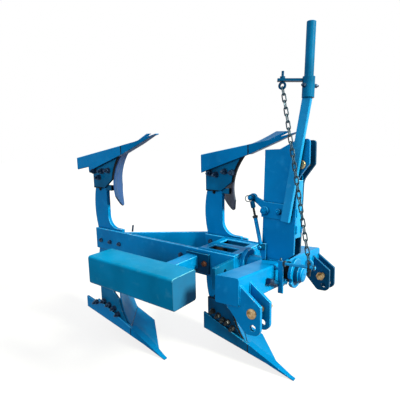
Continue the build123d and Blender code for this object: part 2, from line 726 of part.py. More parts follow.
def box_arm():
    """Square tube from the right beam to the ballast box, on a bolted flange."""
    flange_y = (-RIGHT_BEAM_SIDE - ARM_FLANGE_PLATE, -RIGHT_BEAM_SIDE)
    half = ARM_SECTION / 2
    back = BOX_CENTRE_Y + BOX_WIDTH / 2
    tube = block((ARM_X - half, ARM_X + half), (back, flange_y[0]), (-half, half))
    hole = half - ARM_WALL
    tube -= block((ARM_X - hole, ARM_X + hole), (back, flange_y[0]), (-hole, hole))
    flange_x = (ARM_X - half - ARM_WALL, ARM_X - half - ARM_WALL + ARM_FLANGE_LENGTH)
    height = (-ARM_FLANGE_HEIGHT / 2, ARM_FLANGE_HEIGHT / 2)
    return tube + block(flange_x, flange_y, height)


def ballast_box():
    """Closed sheet box with rounded long edges."""
    body = Box(BOX_LENGTH, BOX_WIDTH, BOX_HEIGHT)
    body = fillet(slab_edges(body, Axis.X), BOX_CORNER)
    wall = 2 * BOX_WALL
    body -= Box(BOX_LENGTH - wall, BOX_WIDTH - wall, BOX_HEIGHT - wall)
    return Pos(BOX_CENTRE_X, BOX_CENTRE_Y, 0) * body


# Plough bodies

def shin_x(height):
    return -SHIN_BACK + SHIN_REACH * (height / SHIN_TURN - 1) ** 2


def wing_angle(height):
    """Angle of the level line at a height to the travel direction."""
    part = (height - JOINT_HEIGHT) / (MOLD_SHIN_TOP + MOLD_CROWN - JOINT_HEIGHT)
    return math.radians(MOLD_ANGLE_LOW + (MOLD_ANGLE_TOP - MOLD_ANGLE_LOW) * part)


def shin_start(height):
    """Distance along a level line at which the plate clears the landside."""
    return SHIN_SIDE / math.sin(wing_angle(height))


def moldboard_point(across, height):
    """Point of the working face, a distance across from the shin along its level line."""
    angle = wing_angle(height)
    return Vector(shin_x(height) - across * math.cos(angle), across * math.sin(angle), height)


def share():
    """Bar point along the landside with the cutting blade welded to its left."""
    pitch = math.tan(math.radians(LANDSIDE_PITCH))
    knee = LANDSIDE_TOE - pitch * (LANDSIDE_FRONT - POINT_LENGTH)
    side = [
        (0, 0),
        (-POINT_LENGTH, knee),
        (-LANDSIDE_FRONT + JOINT_GAP, LANDSIDE_TOE),
        (-LANDSIDE_FRONT + JOINT_GAP, LANDSIDE_TOE + LANDSIDE_TOE_HEIGHT),
        (-SHARE_NOSE, POINT_PLATE / 2),
        (0, POINT_PLATE / 4),
    ]
    bar = plate_xz(side, 0, POINT_WIDTH)
    taper = [(0, POINT_TIP_WIDTH), (0, POINT_WIDTH), (-POINT_TAPER, POINT_WIDTH)]
    bar -= plate_xy(taper, 0, LANDSIDE_TOE + LANDSIDE_TOE_HEIGHT)
    blade = loft([blade_section(y) for y in (SHIN_SIDE, SHARE_FLAT, SHARE_CUT)], ruled=True)
    below = block((-SHARE_REACH, 0), (0, SHARE_REACH), (-SHARE_REACH, 0))
    return bar + (blade - below)


def blade_section(side):
    """Upright section of the blade from its cutting edge to the joint with the moldboard."""
    run = 1 / math.tan(math.radians(SHARE_ANGLE))
    rise = max(0.0, SHARE_WING_RISE * (side - SHARE_FLAT) / (SHARE_CUT - SHARE_FLAT))
    edge = Vector(-SHARE_NOSE - side * run, side, rise)
    start = shin_start(JOINT_HEIGHT)
    part = (side - SHIN_SIDE) / (SHARE_CUT - SHIN_SIDE)
    joint = moldboard_point(start + (MOLD_WING - start) * part, JOINT_HEIGHT)
    down = Vector(0, 0, -SHARE_PLATE)
    return make_face(Polyline(edge, joint, joint + down, edge + down, close=True))


def moldboard():
    """Twisted plate over the share: level lines turn with height, and the crown ends in a tongue."""
    base = JOINT_HEIGHT + JOINT_GAP
    grid = []
    for row in range(MOLD_ROWS):
        up = row / (MOLD_ROWS - 1)
        line = []
        for column in range(MOLD_COLUMNS):
            across = column / (MOLD_COLUMNS - 1)
            crown = MOLD_CROWN * math.sin(math.pi * across)
            top = MOLD_SHIN_TOP + (MOLD_TAIL_TOP - MOLD_SHIN_TOP) * across + crown
            height = base + (top - base) * up
            start = shin_start(height)
            end = MOLD_WING + (MOLD_TAIL - MOLD_WING) * up
            line.append(moldboard_point(start + (end - start) * across, height))
        grid.append(line)
    return thicken(Face.make_surface_from_array_of_points(grid), MOLD_PLATE)


def landside(heel):
    pitch = math.tan(math.radians(LANDSIDE_PITCH))
    rise = pitch * (LANDSIDE_REAR - LANDSIDE_FRONT)
    outline = [
        (-LANDSIDE_FRONT, LANDSIDE_TOE),
        (-LANDSIDE_REAR, LANDSIDE_TOE + rise),
    ]
    if heel:
        end = rise + pitch * HEEL_LENGTH
        outline.append((-LANDSIDE_REAR - HEEL_LENGTH, LANDSIDE_TOE + end))
        outline.append((-LANDSIDE_REAR - HEEL_LENGTH, LANDSIDE_TOE + end + HEEL_HEIGHT))
        outline.append((-LANDSIDE_REAR, LANDSIDE_TOE + rise + HEEL_HEIGHT))
    outline.append((-LANDSIDE_REAR, LANDSIDE_TOE + rise + LANDSIDE_TALL))
    outline.append((-LANDSIDE_FRONT, LANDSIDE_TOE + LANDSIDE_TOE_HEIGHT))
    return plate_xz(outline, 0, LANDSIDE_PLATE)


def mold_back(height, side):
    """Rear of the moldboard at a height and side, with the plate's thickness taken off along x."""
    turn = 1 / math.tan(wing_angle(height))
    slope = 2 * SHIN_REACH / SHIN_TURN * (height / SHIN_TURN - 1)
    through = MOLD_PLATE * math.sqrt(1 + turn ** 2 + slope ** 2)
    return shin_x(height) - side * turn - through - STAY_GAP


def frog():
    """Bracket plate between landside and shank, shaped to the moldboard's back, and the stay above it."""
    pitch = math.tan(math.radians(LANDSIDE_PITCH))
    low = LANDSIDE_TOE + LANDSIDE_TOE_HEIGHT / 2
    shank_front = -SHANK_REAR + SHANK_WIDTH
    base = JOINT_HEIGHT + SHARE_PLATE
    levels = [base + (FROG_TOP - base) * step / (FROG_STEPS - 1) for step in range(FROG_STEPS)]
    front = [(mold_back(level, SHANK_Y), level) for level in levels]
    foot = front[0][0]
    outline = [
        (-SHANK_REAR, STAY_LEVEL),
        (-SHANK_REAR, low + pitch * (SHANK_REAR - LANDSIDE_FRONT)),
        (foot, low - pitch * (foot + LANDSIDE_FRONT)),
        *front,
        (shank_front, STAY_LEVEL),
    ]
    plate = plate_xz(outline, LANDSIDE_PLATE, FROG_PLATE)
    stay_side = SHANK_Y + SHANK_PLATE
    low_end = mold_back(STAY_LEVEL - STAY_HEIGHT / 2, stay_side)
    high_end = mold_back(STAY_LEVEL + STAY_HEIGHT / 2, stay_side)
    stay = block(
        (shank_front, min(low_end, high_end)),
        (SHANK_Y, stay_side),
        (STAY_LEVEL - STAY_HEIGHT / 2, STAY_LEVEL + STAY_HEIGHT / 2),
    )
    return Compound(children=[plate, stay])


def shank():
    """Upright leg, bowed at its rear, with a rounded corner into the foot that is bolted along the beam."""
    rear = -SHANK_REAR
    front = rear + SHANK_WIDTH
    top = TIP_DROP
    foot_low = TIP_DROP - FRAME_TOP
    straight = Polyline(
        (rear, SHANK_Y, STAY_LEVEL),
        (rear, SHANK_Y, SHANK_LOW),
        (front, SHANK_Y, SHANK_LOW),
        (front, SHANK_Y, foot_low - DECK_PLATE),
        (rear + SHANK_FOOT, SHANK_Y, foot_low - DECK_PLATE),
        (rear + SHANK_FOOT, SHANK_Y, top),
        (rear, SHANK_Y, top),
        (rear, SHANK_Y, foot_low),
    )
    middle = (rear - SHANK_BOW, SHANK_Y, (STAY_LEVEL + foot_low) / 2)
    bow = ThreePointArc((rear, SHANK_Y, foot_low), middle, (rear, SHANK_Y, STAY_LEVEL))
    leg = extrude(make_face([straight, bow]), amount=SHANK_PLATE, dir=(0, 1, 0))
    inner = slab_edges(leg, Axis.Y).filter_by_position(Axis.X, front - 1, front + 1)
    corner = inner.sort_by(Axis.Z)[-1]
    return fillet(corner, SHANK_FILLET)


def plough_body(x, y, heel):
    """The five pieces of a lower body, with its share point on the furrow floor."""
    pieces = {
        "share": share(),
        "moldboard": moldboard(),
        "landside": landside(heel),
        "frog": frog(),
        "shank": shank(),
    }
    return {name: Pos(x, y, -TIP_DROP) * piece for name, piece in pieces.items()}


def build_nodes():
    nodes = {
        "cross_beam": cross_beam(),
        "hitch_lugs_right": hitch_lugs(-1),
        "hitch_lugs_left": hitch_lugs(1),
        "hitch_pin_right": hitch_pin(-1),
        "hitch_pin_left": hitch_pin(1),
        "mast_plate_right": mast_plate(-1),
        "mast_plate_left": mast_plate(1),
        "mast_front_plate": mast_front_plate(),
        "top_link_pin": top_link_pin(),
        "shaft_housing": shaft_housing(),
        "latch_plate": latch_plate(),
        "latch_plunger": latch_plunger(),
        "latch_bar": latch_bar(),
        "lever_tube": lever_tube(),
        "lever_socket": lever_socket(),
        "lever_handle": lever_handle(),
        "chain_arm": chain_arm(),
        "crank_plate": crank_plate(),
        "crank_bolts": crank_bolts(),
        "link_rod": link_rod(),
        "rod_lug": rod_lug(),
        "release_chain": release_chain(),
        "turnover_shaft": turnover_shaft(),
        "rear_flange": rear_flange(),
        "frame_beam_right": frame_beam_right(),
        "frame_beam_left": frame_beam_left(),
        "cross_plate_front": cross_plate(-FRAME_FRONT),
        "cross_plate_rear": cross_plate(-FRAME_FRONT - CROSS_SPACING),
        "deck_plate_top": deck_plate(FRAME_TOP - DECK_PLATE),
        "deck_plate_bottom": deck_plate(-FRAME_TOP),
        "frame_diagonal": frame_diagonal(),
        "stop_arm": stop_arm(),
        "box_arm": box_arm(),
        "ballast_box": ballast_box(),
    }
    places = {
        "rear": (REAR_TIP_X, REAR_SIDE_Y, True),
        "front": (REAR_TIP_X + BODY_SPACING, REAR_SIDE_Y + FURROW_STEP, False),
    }
    for row, (x, y, heel) in places.items():
        for name, piece in plough_body(x, y, heel).items():
            nodes[f"{row}_lower_{name}"] = piece
            nodes[f"{row}_upper_{name}"] = mirror(piece, about=Plane.XY)
    return nodes


def floor_shift(nodes):
    """Move that puts the middle of the assembly's footprint at the origin, standing on z = 0."""
    box = Compound(children=[piece.moved(Location()) for piece in nodes.values()]).bounding_box()
    middle = box.center()
    return Pos(-middle.X, -middle.Y, -box.min.Z)


def main():
    nodes = build_nodes()
    shift = floor_shift(nodes)
    os.makedirs("parts", exist_ok=True)
    for name, piece in nodes.items():
        export_step(shift * piece, f"parts/{name}.step")


if __name__ == "__main__":
    main()
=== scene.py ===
import json
import math

import bmesh
import bpy
from mathutils import Euler, Matrix, Vector

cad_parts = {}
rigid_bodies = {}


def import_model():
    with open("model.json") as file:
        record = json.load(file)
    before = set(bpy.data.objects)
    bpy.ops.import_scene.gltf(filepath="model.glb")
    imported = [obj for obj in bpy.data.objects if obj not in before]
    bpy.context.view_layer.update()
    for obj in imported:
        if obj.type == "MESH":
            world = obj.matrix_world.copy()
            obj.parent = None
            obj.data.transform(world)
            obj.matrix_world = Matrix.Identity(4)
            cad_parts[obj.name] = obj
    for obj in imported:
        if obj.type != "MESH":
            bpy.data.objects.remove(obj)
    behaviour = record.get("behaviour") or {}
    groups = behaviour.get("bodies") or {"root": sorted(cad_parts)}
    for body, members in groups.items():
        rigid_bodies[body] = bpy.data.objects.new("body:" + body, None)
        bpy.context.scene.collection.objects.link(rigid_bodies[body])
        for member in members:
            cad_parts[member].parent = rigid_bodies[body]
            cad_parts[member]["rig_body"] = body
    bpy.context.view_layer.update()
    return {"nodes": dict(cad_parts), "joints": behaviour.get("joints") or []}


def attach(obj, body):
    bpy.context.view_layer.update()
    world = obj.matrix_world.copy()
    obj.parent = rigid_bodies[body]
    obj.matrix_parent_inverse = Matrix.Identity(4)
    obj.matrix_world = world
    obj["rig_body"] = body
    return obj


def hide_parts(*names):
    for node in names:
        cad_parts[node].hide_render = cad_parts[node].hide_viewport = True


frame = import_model()

bl_info = {
    "name": "Reversible plough dressing",
    "version": (1, 0, 0),
    "blender": (4, 5, 0),
    "location": "View3D > Sidebar > Plough",
    "description": "Paint, fasteners, welds and chain for a two-furrow reversible plough",
    "category": "Object",
}

MM = 0.001
NODES = frame["nodes"]

# The headstock rolls and leans against the level turning frame. Both are drawn in millimetres about the
# turnover axis, from its point over the lower link pins: x ahead, y to the left, z up.
SHAFT_LENGTH = 246.0
HEAD_ROLL = math.radians(-6.3)
HEAD_LEAN = math.radians(-3.2)
ORIGIN = Vector(frame["joints"][0]["pos_m"]) + Vector((SHAFT_LENGTH * MM, 0, 0))
TURN = Matrix.Translation(ORIGIN) @ Matrix.Scale(MM, 4)
HEAD = TURN @ Matrix.Rotation(HEAD_ROLL, 4, "X") @ Matrix.Rotation(HEAD_LEAN, 4, "Y")
AHEAD, BACK = (1, 0, 0), (-1, 0, 0)
LEFT, RIGHT = (0, 1, 0), (0, -1, 0)
UP, DOWN = (0, 0, 1), (0, 0, -1)

# Share points of the bodies, and their drop below the axis
TIPS = {"rear": (-677.0, -120.0), "front": (-55.0, 115.0)}
TIP_DROP = 591.0

# Mast, crank plate and hitch clevises: faces from the middle, and the pins' x and z
MAST_FACE = 39.0
MAST_INSIDE = 27.0
CRANK_FACE = 63.0
HITCH_SIDES = (-341.5, 341.5)
LUG_HALF = 42.0
LUG_GAP = 28.0
LOWER_PIN = (0.0, -65.0)
LOWER_PIN_RADIUS = 11.0
TOP_PIN = (26.0, 455.0)
TOP_PIN_RADIUS = 9.5
PIN_HEAD_RADIUS = 18.0
PIN_HEAD = 8.0
LOWER_PIN_TAIL = 40.0
TOP_PIN_TAIL = 14.0

# Bolts through the crank plate: x, z, width across flats, head, bolt end and turn; and their nuts
CRANK_BOLTS = ((-128.0, 262.0, 26, 9, 6, 0.2), (-66.0, 260.0, 19, 7, 5, 0.5))
CRANK_NUT = (22, 11, 5)

# Release chain: hole of its arm and eye on the latch bar. A link's inside starts CHAIN_SEAT from each end,
# two insides overlap by LINK_BITE, and the wire's middle runs LINK_WALL past the inside, round a bend.
CHAIN_TOP = Vector((-28.96, -111.0, 762.19))
CHAIN_FOOT = Vector((93.0, -110.0, 74.0))
CHAIN_LINKS = 25
CHAIN_SEAT = 7.5
LINK_BITE = 0.5
LINK_BEND = 7.4
LINK_WALL = 3.5

# Link rod: lower and upper eye, and distances of its parts below the upper eye
ROD_FOOT = Vector((-139.0, -63.0, 106.0))
ROD_HEAD = Vector((-189.0, -63.0, 317.0))
ROD_EYE = [(8.2, -12), (11.5, -12), (13, -10.5), (13, 10.5), (11.5, 12), (8.2, 12), (8.2, -12)]
ROD_FORK = [(0, 0), (8.5, 0), (10.5, 3), (10.5, 30), (0, 30)]
FORK_DROP = 46.0
TUBE_DROP = 88.0
LOCK_NUT_DROP = 90.0
THREAD_DROP = 80.0
THREAD_END = 44.0
CORE_END = 40.0
THREAD_CORE = 4.6
THREAD_RADIUS = 4.9
THREAD_RIDGE = 0.9
RING_MIDDLE = ROD_HEAD + Vector((-10, -16, -5))
RING_RADIUS = 13.0
RING_WIRE = 1.9

# Latch: y and z of the release bar, its washers and end ring along x, its cross bolt, and the rod's ends
LATCH_BAR = (-110.0, 60.0)
LATCH_WASHERS = (-12.0, -7.5)
LATCH_RING = 112.0
LATCH_BOLT = (-24.0, -110.0, 71.0)
LATCH_ROD = (Vector((-37, -186, 0)), Vector((-30, -70, -34)))
SPRING_TURNS = 6
SPRING_LENGTH = 22.0
SPRING_RADIUS = 11.0
SPRING_WIRE = 1.7

# Shackle at the chain's foot: its middle below the chain's end, half its width, legs, bow and wire
SHACKLE_DROP = 8.0
SHACKLE_HALF = 9.0
SHACKLE_LEG = 10.0
SHACKLE_SHOULDER = 6.0
SHACKLE_BOW = 12.0
SHACKLE_WIRE = 3.2
SHACKLE_BOLT_DROP = 21.0

# Hand lever: foot of its tube, the tube's tilt and length, and its socket
LEVER_FOOT = Vector((-31.0, -61.0, 222.0))
TUBE_TILT = math.radians(9.8)
TUBE_LENGTH = 515.0
SOCKET_TILT = math.radians(1.8)
SOCKET_MIDDLE = 29.0
SOCKET_RADIUS = 23.0
SOCKET_BOLTS = ((0.79, 0.61, 0.0), (-0.30, -0.95, 0.0))

# Shaft where it leaves the headstock: seal and end cap along x
SHAFT_SEAL = -48.0
SHAFT_CAP = 27.0

# Turning frame: faces of the beams, bolts through them along x, stop arm, box arm and clip
RIGHT_BEAM_FACE = -112.0
RIGHT_SHANK_FACE = -72.0
LEFT_BEAM_FACE = 123.0
REAR_SHANK_BOLTS = (-1147.0, -1070.0, -993.0)
REAR_BOLT_HEIGHT = -8.0
FRONT_SHANK_BOLTS = (-540.0, -498.0, -456.0)
FRONT_BOLT_HEIGHTS = (26.0, -26.0)
SPARE_BOLT = (-546.0, RIGHT_BEAM_FACE, 14.0)
STOP_FACES = (-246.0, -262.0)
STOP_SLOT = (-179.0, -9.0)
CLAMP_BOLT = (-396.0, -124.0, 1.0)
CLIP_PIN = (-947.0, -53.0, 58.0)

# Faces that take a second finish: frog stay, shaft collar, insides of the deck, rear plate and arm flange; on
# all but the stay it is a darker finish that paints their shade
STAY_FACE = 26.5
COLLAR_FROM, COLLAR_TO = -2.0, 14.0
DECK_INSIDE = 52.0
REAR_PLATE_FRONT = -438.0
ARM_FLANGE = -127.0

# Plough body in its own frame, from the share point: nuts on the frog's right face, by x and height
FROG_NUTS = {
    ("rear", "upper"): ((-497, 203), (-431, 200), (-378, 194), (-460, 236)),
    ("front", "upper"): ((-485, 205), (-447, 211), (-395, 193), (-350, 196)),
    ("rear", "lower"): ((-540, 188), (-487, 202), (-441, 191), (-397, 180), (-365, 152)),
    ("front", "lower"): ((-478, 222), (-442, 207), (-412, 190), (-381, 186), (-352, 160)),
}
# Right face of the frog; a nut behind the frog's end sits on the landside
FROG_FACE = 14.0
FROG_END = -515.0
STAY_BOLT = (-470, 26.0, 306)
# Lines where the share meets the landside, the shank the frog, the share the moldboard and the shin the frog;
# a dark bead along each is painted shade in the joint, with soil
SHARE_JOINT = ((-254, -0.5, 60), (-254, -0.5, 104))
SHANK_JOINT = ((-513, 13.5, 295), (-440, 13.5, 295))
BLADE_JOINT = ((-267.5, 22.5, 100), (-430.5, 223.5, 100))
SHIN_JOINT = [(-318.0 + 179.3 * (h / 270.0 - 1) ** 2 - 30.5, 16.0, h) for h in range(112, 250, 12)]
JOINT_LINES = ((SHARE_JOINT, 5.0), (SHANK_JOINT, 5.0), (BLADE_JOINT, 3.5), (SHIN_JOINT, 9.0))

# Finish of each plate that isn't plain paint, and of the plates that every body has
COATS = {
    "ballast_box": "box",
    "rear_upper_moldboard": "inner", "front_upper_moldboard": "grey",
    "rear_lower_moldboard": "work", "front_lower_moldboard": "work",
    # The paler coat on these plates is painted light as well as dust
    "mast_front_plate": "dusty_lit", "lever_tube": "dusty_lit", "latch_bar": "dusty_lit",
    # On the left lugs, left mast plate and front lower frog this nearly black coat is painted shade
    "latch_plunger": "oil_and_shade", "chain_arm": "oil_and_shade", "hitch_lugs_left": "oil_and_shade", "mast_plate_left": "oil_and_shade",
    "front_lower_frog": "oil_and_shade",
    # On these plates the darker soiled coat is painted shade
    "front_lower_landside": "frog", "stop_arm": "frog", "lever_handle": "frog", "lever_socket": "frog",
}
BODY_COATS = {"frog": "frog", "share": "work"}
REBUILT = {"release_chain", "link_rod", "hitch_pin_right", "hitch_pin_left", "top_link_pin"}

# Lamps: name, spread in degrees, where the light comes from and its tint
LAMPS = (
    ("Key", 14, (0.83, 0.13, 0.53), (1.0, 1.0, 0.78)),
    ("Side", 40, (0.10, -0.97, 0.20), (0.92, 0.96, 1.0)),
)
# Camera as fitted to the photograph, in metres from the origin and degrees
CAMERA_PLACE = Vector((0.62388, -1.46904, 0.59707))
CAMERA_TURN = (79.9196, 1.1032, 37.4770)


def body_place(row, level):
    """Frame of one plough body from its share point; the upper one is the mirror image."""
    x, y = TIPS[row]
    flip = Matrix.Scale(-1 if level == "upper" else 1, 4, UP)
    return TURN @ flip @ Matrix.Translation((x, y, -TIP_DROP))


def facing(point, direction, spin=0.0):
    """Frame at a point with its z along a direction."""
    turn = Vector(direction).to_track_quat("Z", "Y").to_matrix().to_4x4()
    return Matrix.Translation(point) @ turn @ Matrix.Rotation(spin, 4, "Z")


def raised(place, z):
    """The same frame, moved along its own z."""
    return place @ Matrix.Translation((0, 0, z))


def leaning(angle):
    """Direction that leans ahead from straight up."""
    return Vector((math.sin(angle), 0, math.cos(angle)))


def linear(code):
    """An sRGB hex colour as linear red, green, blue and alpha."""
    channels = [int(code[i:i + 2], 16) / 255 for i in (0, 2, 4)]
    return [c / 12.92 if c <= 0.04045 else ((c + 0.055) / 1.055) ** 2.4 for c in channels] + [1.0]


# Settings that a user would change

def colour(name, code, description):
    """A colour setting from its sRGB hex value."""
    return bpy.props.FloatVectorProperty(
        name=name, description=description, subtype="COLOR", size=4, min=0, max=1, default=linear(code))


def length(name, millimetres, description):
    """A length setting, kept in metres."""
    return bpy.props.FloatProperty(
        name=name, description=description, unit="LENGTH", subtype="DISTANCE", default=millimetres * MM)


class PloughFinish(bpy.types.PropertyGroup):
    """Colours and wear of the finishes."""
    paint: colour("Paint", "007DBE", "Blue enamel of the frame, headstock and bodies")
    paint_shade: colour("Paint in recesses", "006CA9", "Darker blue where the coat is thick")
    # Painted highlight along the upward-facing plate edges; a faint share of it also tints the dust
    edge: colour("Paint on edges", "3FB4EC", "Thin bright enamel along the plate edges")
    box: colour("Box paint", "007AAC", "Greener blue of the ballast box")
    # Painted shade in recesses and along downward-facing edges, as well as grease
    grease: colour("Grease", "04131F", "Dark grease and dirt where plates meet")
    smear: colour("Smear", "1F5C86", "Dirt rubbed over the front end of the box")
    bare: colour("Primer", "9FB4BC", "Pale primer under chipped paint")
    inner: colour("Moldboard inside", "264C88", "Violet film on the backs of the moldboards")
    black: colour("Black oxide", "15181C", "Bolts and nuts")
    chain: colour("Chain", "1B3646", "Dull zinc of the chain")
    pin: colour("Yellow zinc", "74552E", "Hitch pins")
    rust: colour("Rust", "4A2818", "Clamp bolt")
    edge_width: length("Edge width", 2.2, "Rounding of the plate edges")


class PloughParts(bpy.types.PropertyGroup):
    """Sizes of the fasteners, welds and chain."""
    nut: length("Frog nut", 25.0, "Width across flats of the nuts on the frogs")
    beam_bolt: length("Beam bolt", 19.0, "Width across flats of the bolts through the beams")
    weld: length("Weld bead", 7.0, "Width of a weld bead")
    wire: length("Chain wire", 5.0, "Diameter of the chain's wire")
    thread: length("Thread pitch", 3.0, "Pitch of the link rod's thread, coarser than real so that it shows")


class PloughStage(bpy.types.PropertyGroup):
    """Floor, lamps and camera."""
    lens: bpy.props.FloatProperty(
        name="Lens", description="Focal length of the camera", unit="CAMERA", default=34.75)
    sun: bpy.props.FloatProperty(
        name="Key lamp", description="Strength of the lamp in front", default=7.4)
    side: bpy.props.FloatProperty(
        name="Side lamp", description="Strength of the low lamp at the right", default=1.4)
    fill: bpy.props.FloatProperty(
        name="Sky", description="Strength of the sky overhead", default=0.85)
    bounce: colour("Floor bounce", "404040", "Grey that the floor throws back on the machine")
    floor: length("Floor", 30000.0, "Side of the floor")


# Materials

# Sockets of the Mix node for colours, which have the same names as the ones for numbers
MIX_SHARE, MIX_UNDER, MIX_OVER, MIX_COLOUR = 0, 6, 7, 2


def node(tree, kind, inputs=None, **settings):
    """Adds a node with its settings, links or sets its inputs, and gives its outputs."""
    made = tree.nodes.new("ShaderNode" + kind)
    for key, value in settings.items():
        setattr(made, key, value)
    for key, value in (inputs or {}).items():
        if isinstance(value, bpy.types.NodeSocket):
            tree.links.new(made.inputs[key], value)
        else:
            made.inputs[key].default_value = value
    return made.outputs


def fresh(name):
    """A material with an empty tree."""
    material = bpy.data.materials.new(name)
    material.use_nodes = True
    material.node_tree.nodes.clear()
    return material, material.node_tree


def span(low, high, least=0.0, most=1.0):
    """Limits of a mask: a value from low to high turns into one from least to most."""
    return {"From Min": low, "From Max": high, "To Min": least, "To Max": most}


def patches(tree, where, size, limits, detail=3.0):
    """Soft blotches about size millimetres across, as a mask within limits."""
    noise = node(tree, "TexNoise", {"Vector": where, "Scale": 1 / (size * MM), "Detail": detail})["Fac"]
    return node(tree, "MapRange", {"Value": noise, **limits})["Result"]


def coats(tree, ground, layers):
    """Colours laid one after another over a ground colour, each through its mask."""
    tone = ground
    for mask, over in layers:
        sockets = {MIX_SHARE: mask, MIX_UNDER: tone, MIX_OVER: over}
        tone = node(tree, "Mix", sockets, data_type="RGBA")[MIX_COLOUR]
    return tone


def skin(tree, where, tone, rough, relief, gloss):
    """Ends a material with its colour, its gloss and a relief of (size, detail, strength, height)."""
    size, detail, strength, height = relief
    grit = node(tree, "TexNoise", {"Vector": where, "Scale": 1 / (size * MM), "Detail": detail})["Fac"]
    bump = node(tree, "Bump", {"Height": grit, "Strength": strength, "Distance": height * MM})["Normal"]
    sockets = {"Base Color": tone, "Roughness": rough, "Normal": bump, **gloss}
    node(tree, "OutputMaterial", {"Surface": node(tree, "BsdfPrincipled", sockets)["BSDF"]})


def enamel(name, settings, base, shade, edge, end_grime=0.0, gloss=0.05):
    """Air-dried enamel sprayed on welded steel plate: an even gloss with faint orange peel, a painted
    highlight along the upper edges with a few chips down to primer, painted shade along the lower edges, and
    painted shade with grease in the recesses where plates meet."""
    material, tree = fresh(name)
    where = node(tree, "TexCoord")["Object"]
    thick = patches(tree, where, 160, span(0.32, 0.72))
    dust = patches(tree, where, 38, span(0.58, 0.80, 0.0, 0.16), 6.0)
    # Painted shade: ambient occlusion darkens the recesses where plates meet towards the grease colour, which
    # also stands for grease there
    open_air = node(tree, "AmbientOcclusion", {"Distance": 35 * MM}, samples=6)["AO"]
    grease = node(tree, "MapRange", {"Value": open_air, **span(0.30, 0.62, 0.92, 0.0)})["Result"]
    layers = [(thick, base), (dust, edge), (grease, settings.grease)]
    normal = node(tree, "NewGeometry")
    if end_grime:
        ahead = node(tree, "SeparateXYZ", {"Vector": normal["True Normal"]})["X"]
        front = node(tree, "MapRange", {"Value": ahead, **span(0.85, 0.95)})["Result"]
        rubbed = patches(tree, where, 70, span(0.25, 0.6, end_grime), 4.0)
        smear = node(tree, "Math", {0: front, 1: rubbed}, operation="MULTIPLY")[0]
        layers.append((smear, settings.smear))
    line = node(tree, "Attribute", attribute_name="edge_line")["Fac"]
    # Painted shade: the roundings of edges that face down are darkened towards the grease colour
    upward = node(tree, "SeparateXYZ", {"Vector": normal["Normal"]})["Z"]
    below = node(tree, "MapRange", {"Value": upward, **span(-0.2, 0.2, 0.8, 0.0)})["Result"]
    above = node(tree, "MapRange", {"Value": upward, **span(0.0, 0.4)})["Result"]
    lower = node(tree, "Math", {0: line, 1: below}, operation="MULTIPLY")[0]
    upper = node(tree, "Math", {0: line, 1: above}, operation="MULTIPLY")[0]
    # Painted highlight: the roundings of upward-facing edges take the edge colour, bright on most finishes,
    # broken up in patches
    worn = patches(tree, where, 24, span(0.30, 0.52, 0.20, 0.90))
    thin = node(tree, "Math", {0: upper, 1: worn}, operation="MULTIPLY")[0]
    knocked = patches(tree, where, 9, span(0.61, 0.67), 5.0)
    chips = node(tree, "Math", {0: upper, 1: knocked}, operation="MULTIPLY")[0]
    layers += [(lower, settings.grease), (thin, edge), (chips, settings.bare)]
    tone = coats(tree, shade, layers)
    rough = patches(tree, where, 55, span(0.3, 0.7, 0.28, 0.42), 5.0)
    # Orange peel is about 1 mm across; it is drawn at 3.5 mm, so that it shows
    peel = (3.5, 2.0, 0.10, 0.6)
    skin(tree, where, tone, rough, peel, {"IOR": 1.5, "Specular IOR Level": gloss})
    return material


def oxide_steel(name, base, rough_low, rough_high, scratch):
    """Steel with a thin black oxide or dull zinc skin: dark, half-bright, rubbed lighter in spots."""
    material, tree = fresh(name)
    where = node(tree, "TexCoord")["Object"]
    rubbed = patches(tree, where, 14, span(0.52, 0.72, 0.0, scratch), 5.0)
    tone = coats(tree, base, [(rubbed, linear("5E8396"))])
    rough = patches(tree, where, 20, span(0.3, 0.7, rough_low, rough_high))
    # The pits of the pickled steel are well under 1 mm; they are drawn at 2 mm, so that they show
    pits = (2.0, 4.0, 0.18, 0.5)
    skin(tree, where, tone, rough, pits, {"Metallic": 0.55})
    return material


def yellow_zinc(name, base):
    """Turned steel with yellow passivated zinc: gold, faintly iridescent, with fine turning marks."""
    material, tree = fresh(name)
    where = node(tree, "TexCoord")["Object"]
    film = patches(tree, where, 16, span(0.35, 0.65), 4.0)
    tone = coats(tree, base, [(film, linear("C4AC84"))])
    rough = patches(tree, where, 9, span(0.3, 0.7, 0.24, 0.42))
    # Turning marks are about 0.2 mm apart; they are drawn at 1.5 mm, so that they show
    marks = (1.5, 3.0, 0.12, 0.4)
    skin(tree, where, tone, rough, marks, {"Metallic": 0.85})
    return material


def rolled_steel(name, base, tint):
    """Hardened rolled plate under a thin film of paint: a slow sheen in bands down the plate."""
    material, tree = fresh(name)
    where = node(tree, "TexCoord")["Object"]
    drawn_out = node(tree, "Mapping", {"Vector": where, "Scale": (1.0, 1.0, 0.25)})["Vector"]
    bands = patches(tree, drawn_out, 60, span(0.35, 0.65))
    line = node(tree, "Attribute", attribute_name="edge_line")["Fac"]
    handled = patches(tree, where, 20, span(0.3, 0.6, 0.1, 0.6))
    rim = node(tree, "Math", {0: line, 1: handled}, operation="MULTIPLY")[0]
    tone = coats(tree, base, [(bands, tint), (rim, linear("2C3F4E"))])
    rough = patches(tree, where, 45, span(0.3, 0.7, 0.55, 0.75), 4.0)
    # The mill's ripple is 1 or 2 mm across; it is drawn at 5 mm, so that it shows
    ripple = (5.0, 2.0, 0.08, 0.6)
    skin(tree, where, tone, rough, ripple, {"IOR": 1.5, "Specular IOR Level": 0.03})
    return material


FINISHES = {}


# Mesh building

def coiled(count, per_turn, radius, start=0.0, rise=0.0):
    """Points round a circle about z, or up a coil where each point rises above the one before."""
    points = []
    for i in range(count):
        angle = math.tau * i / per_turn
        points.append(Vector((radius * math.cos(angle), radius * math.sin(angle), start + rise * i)))
    return points


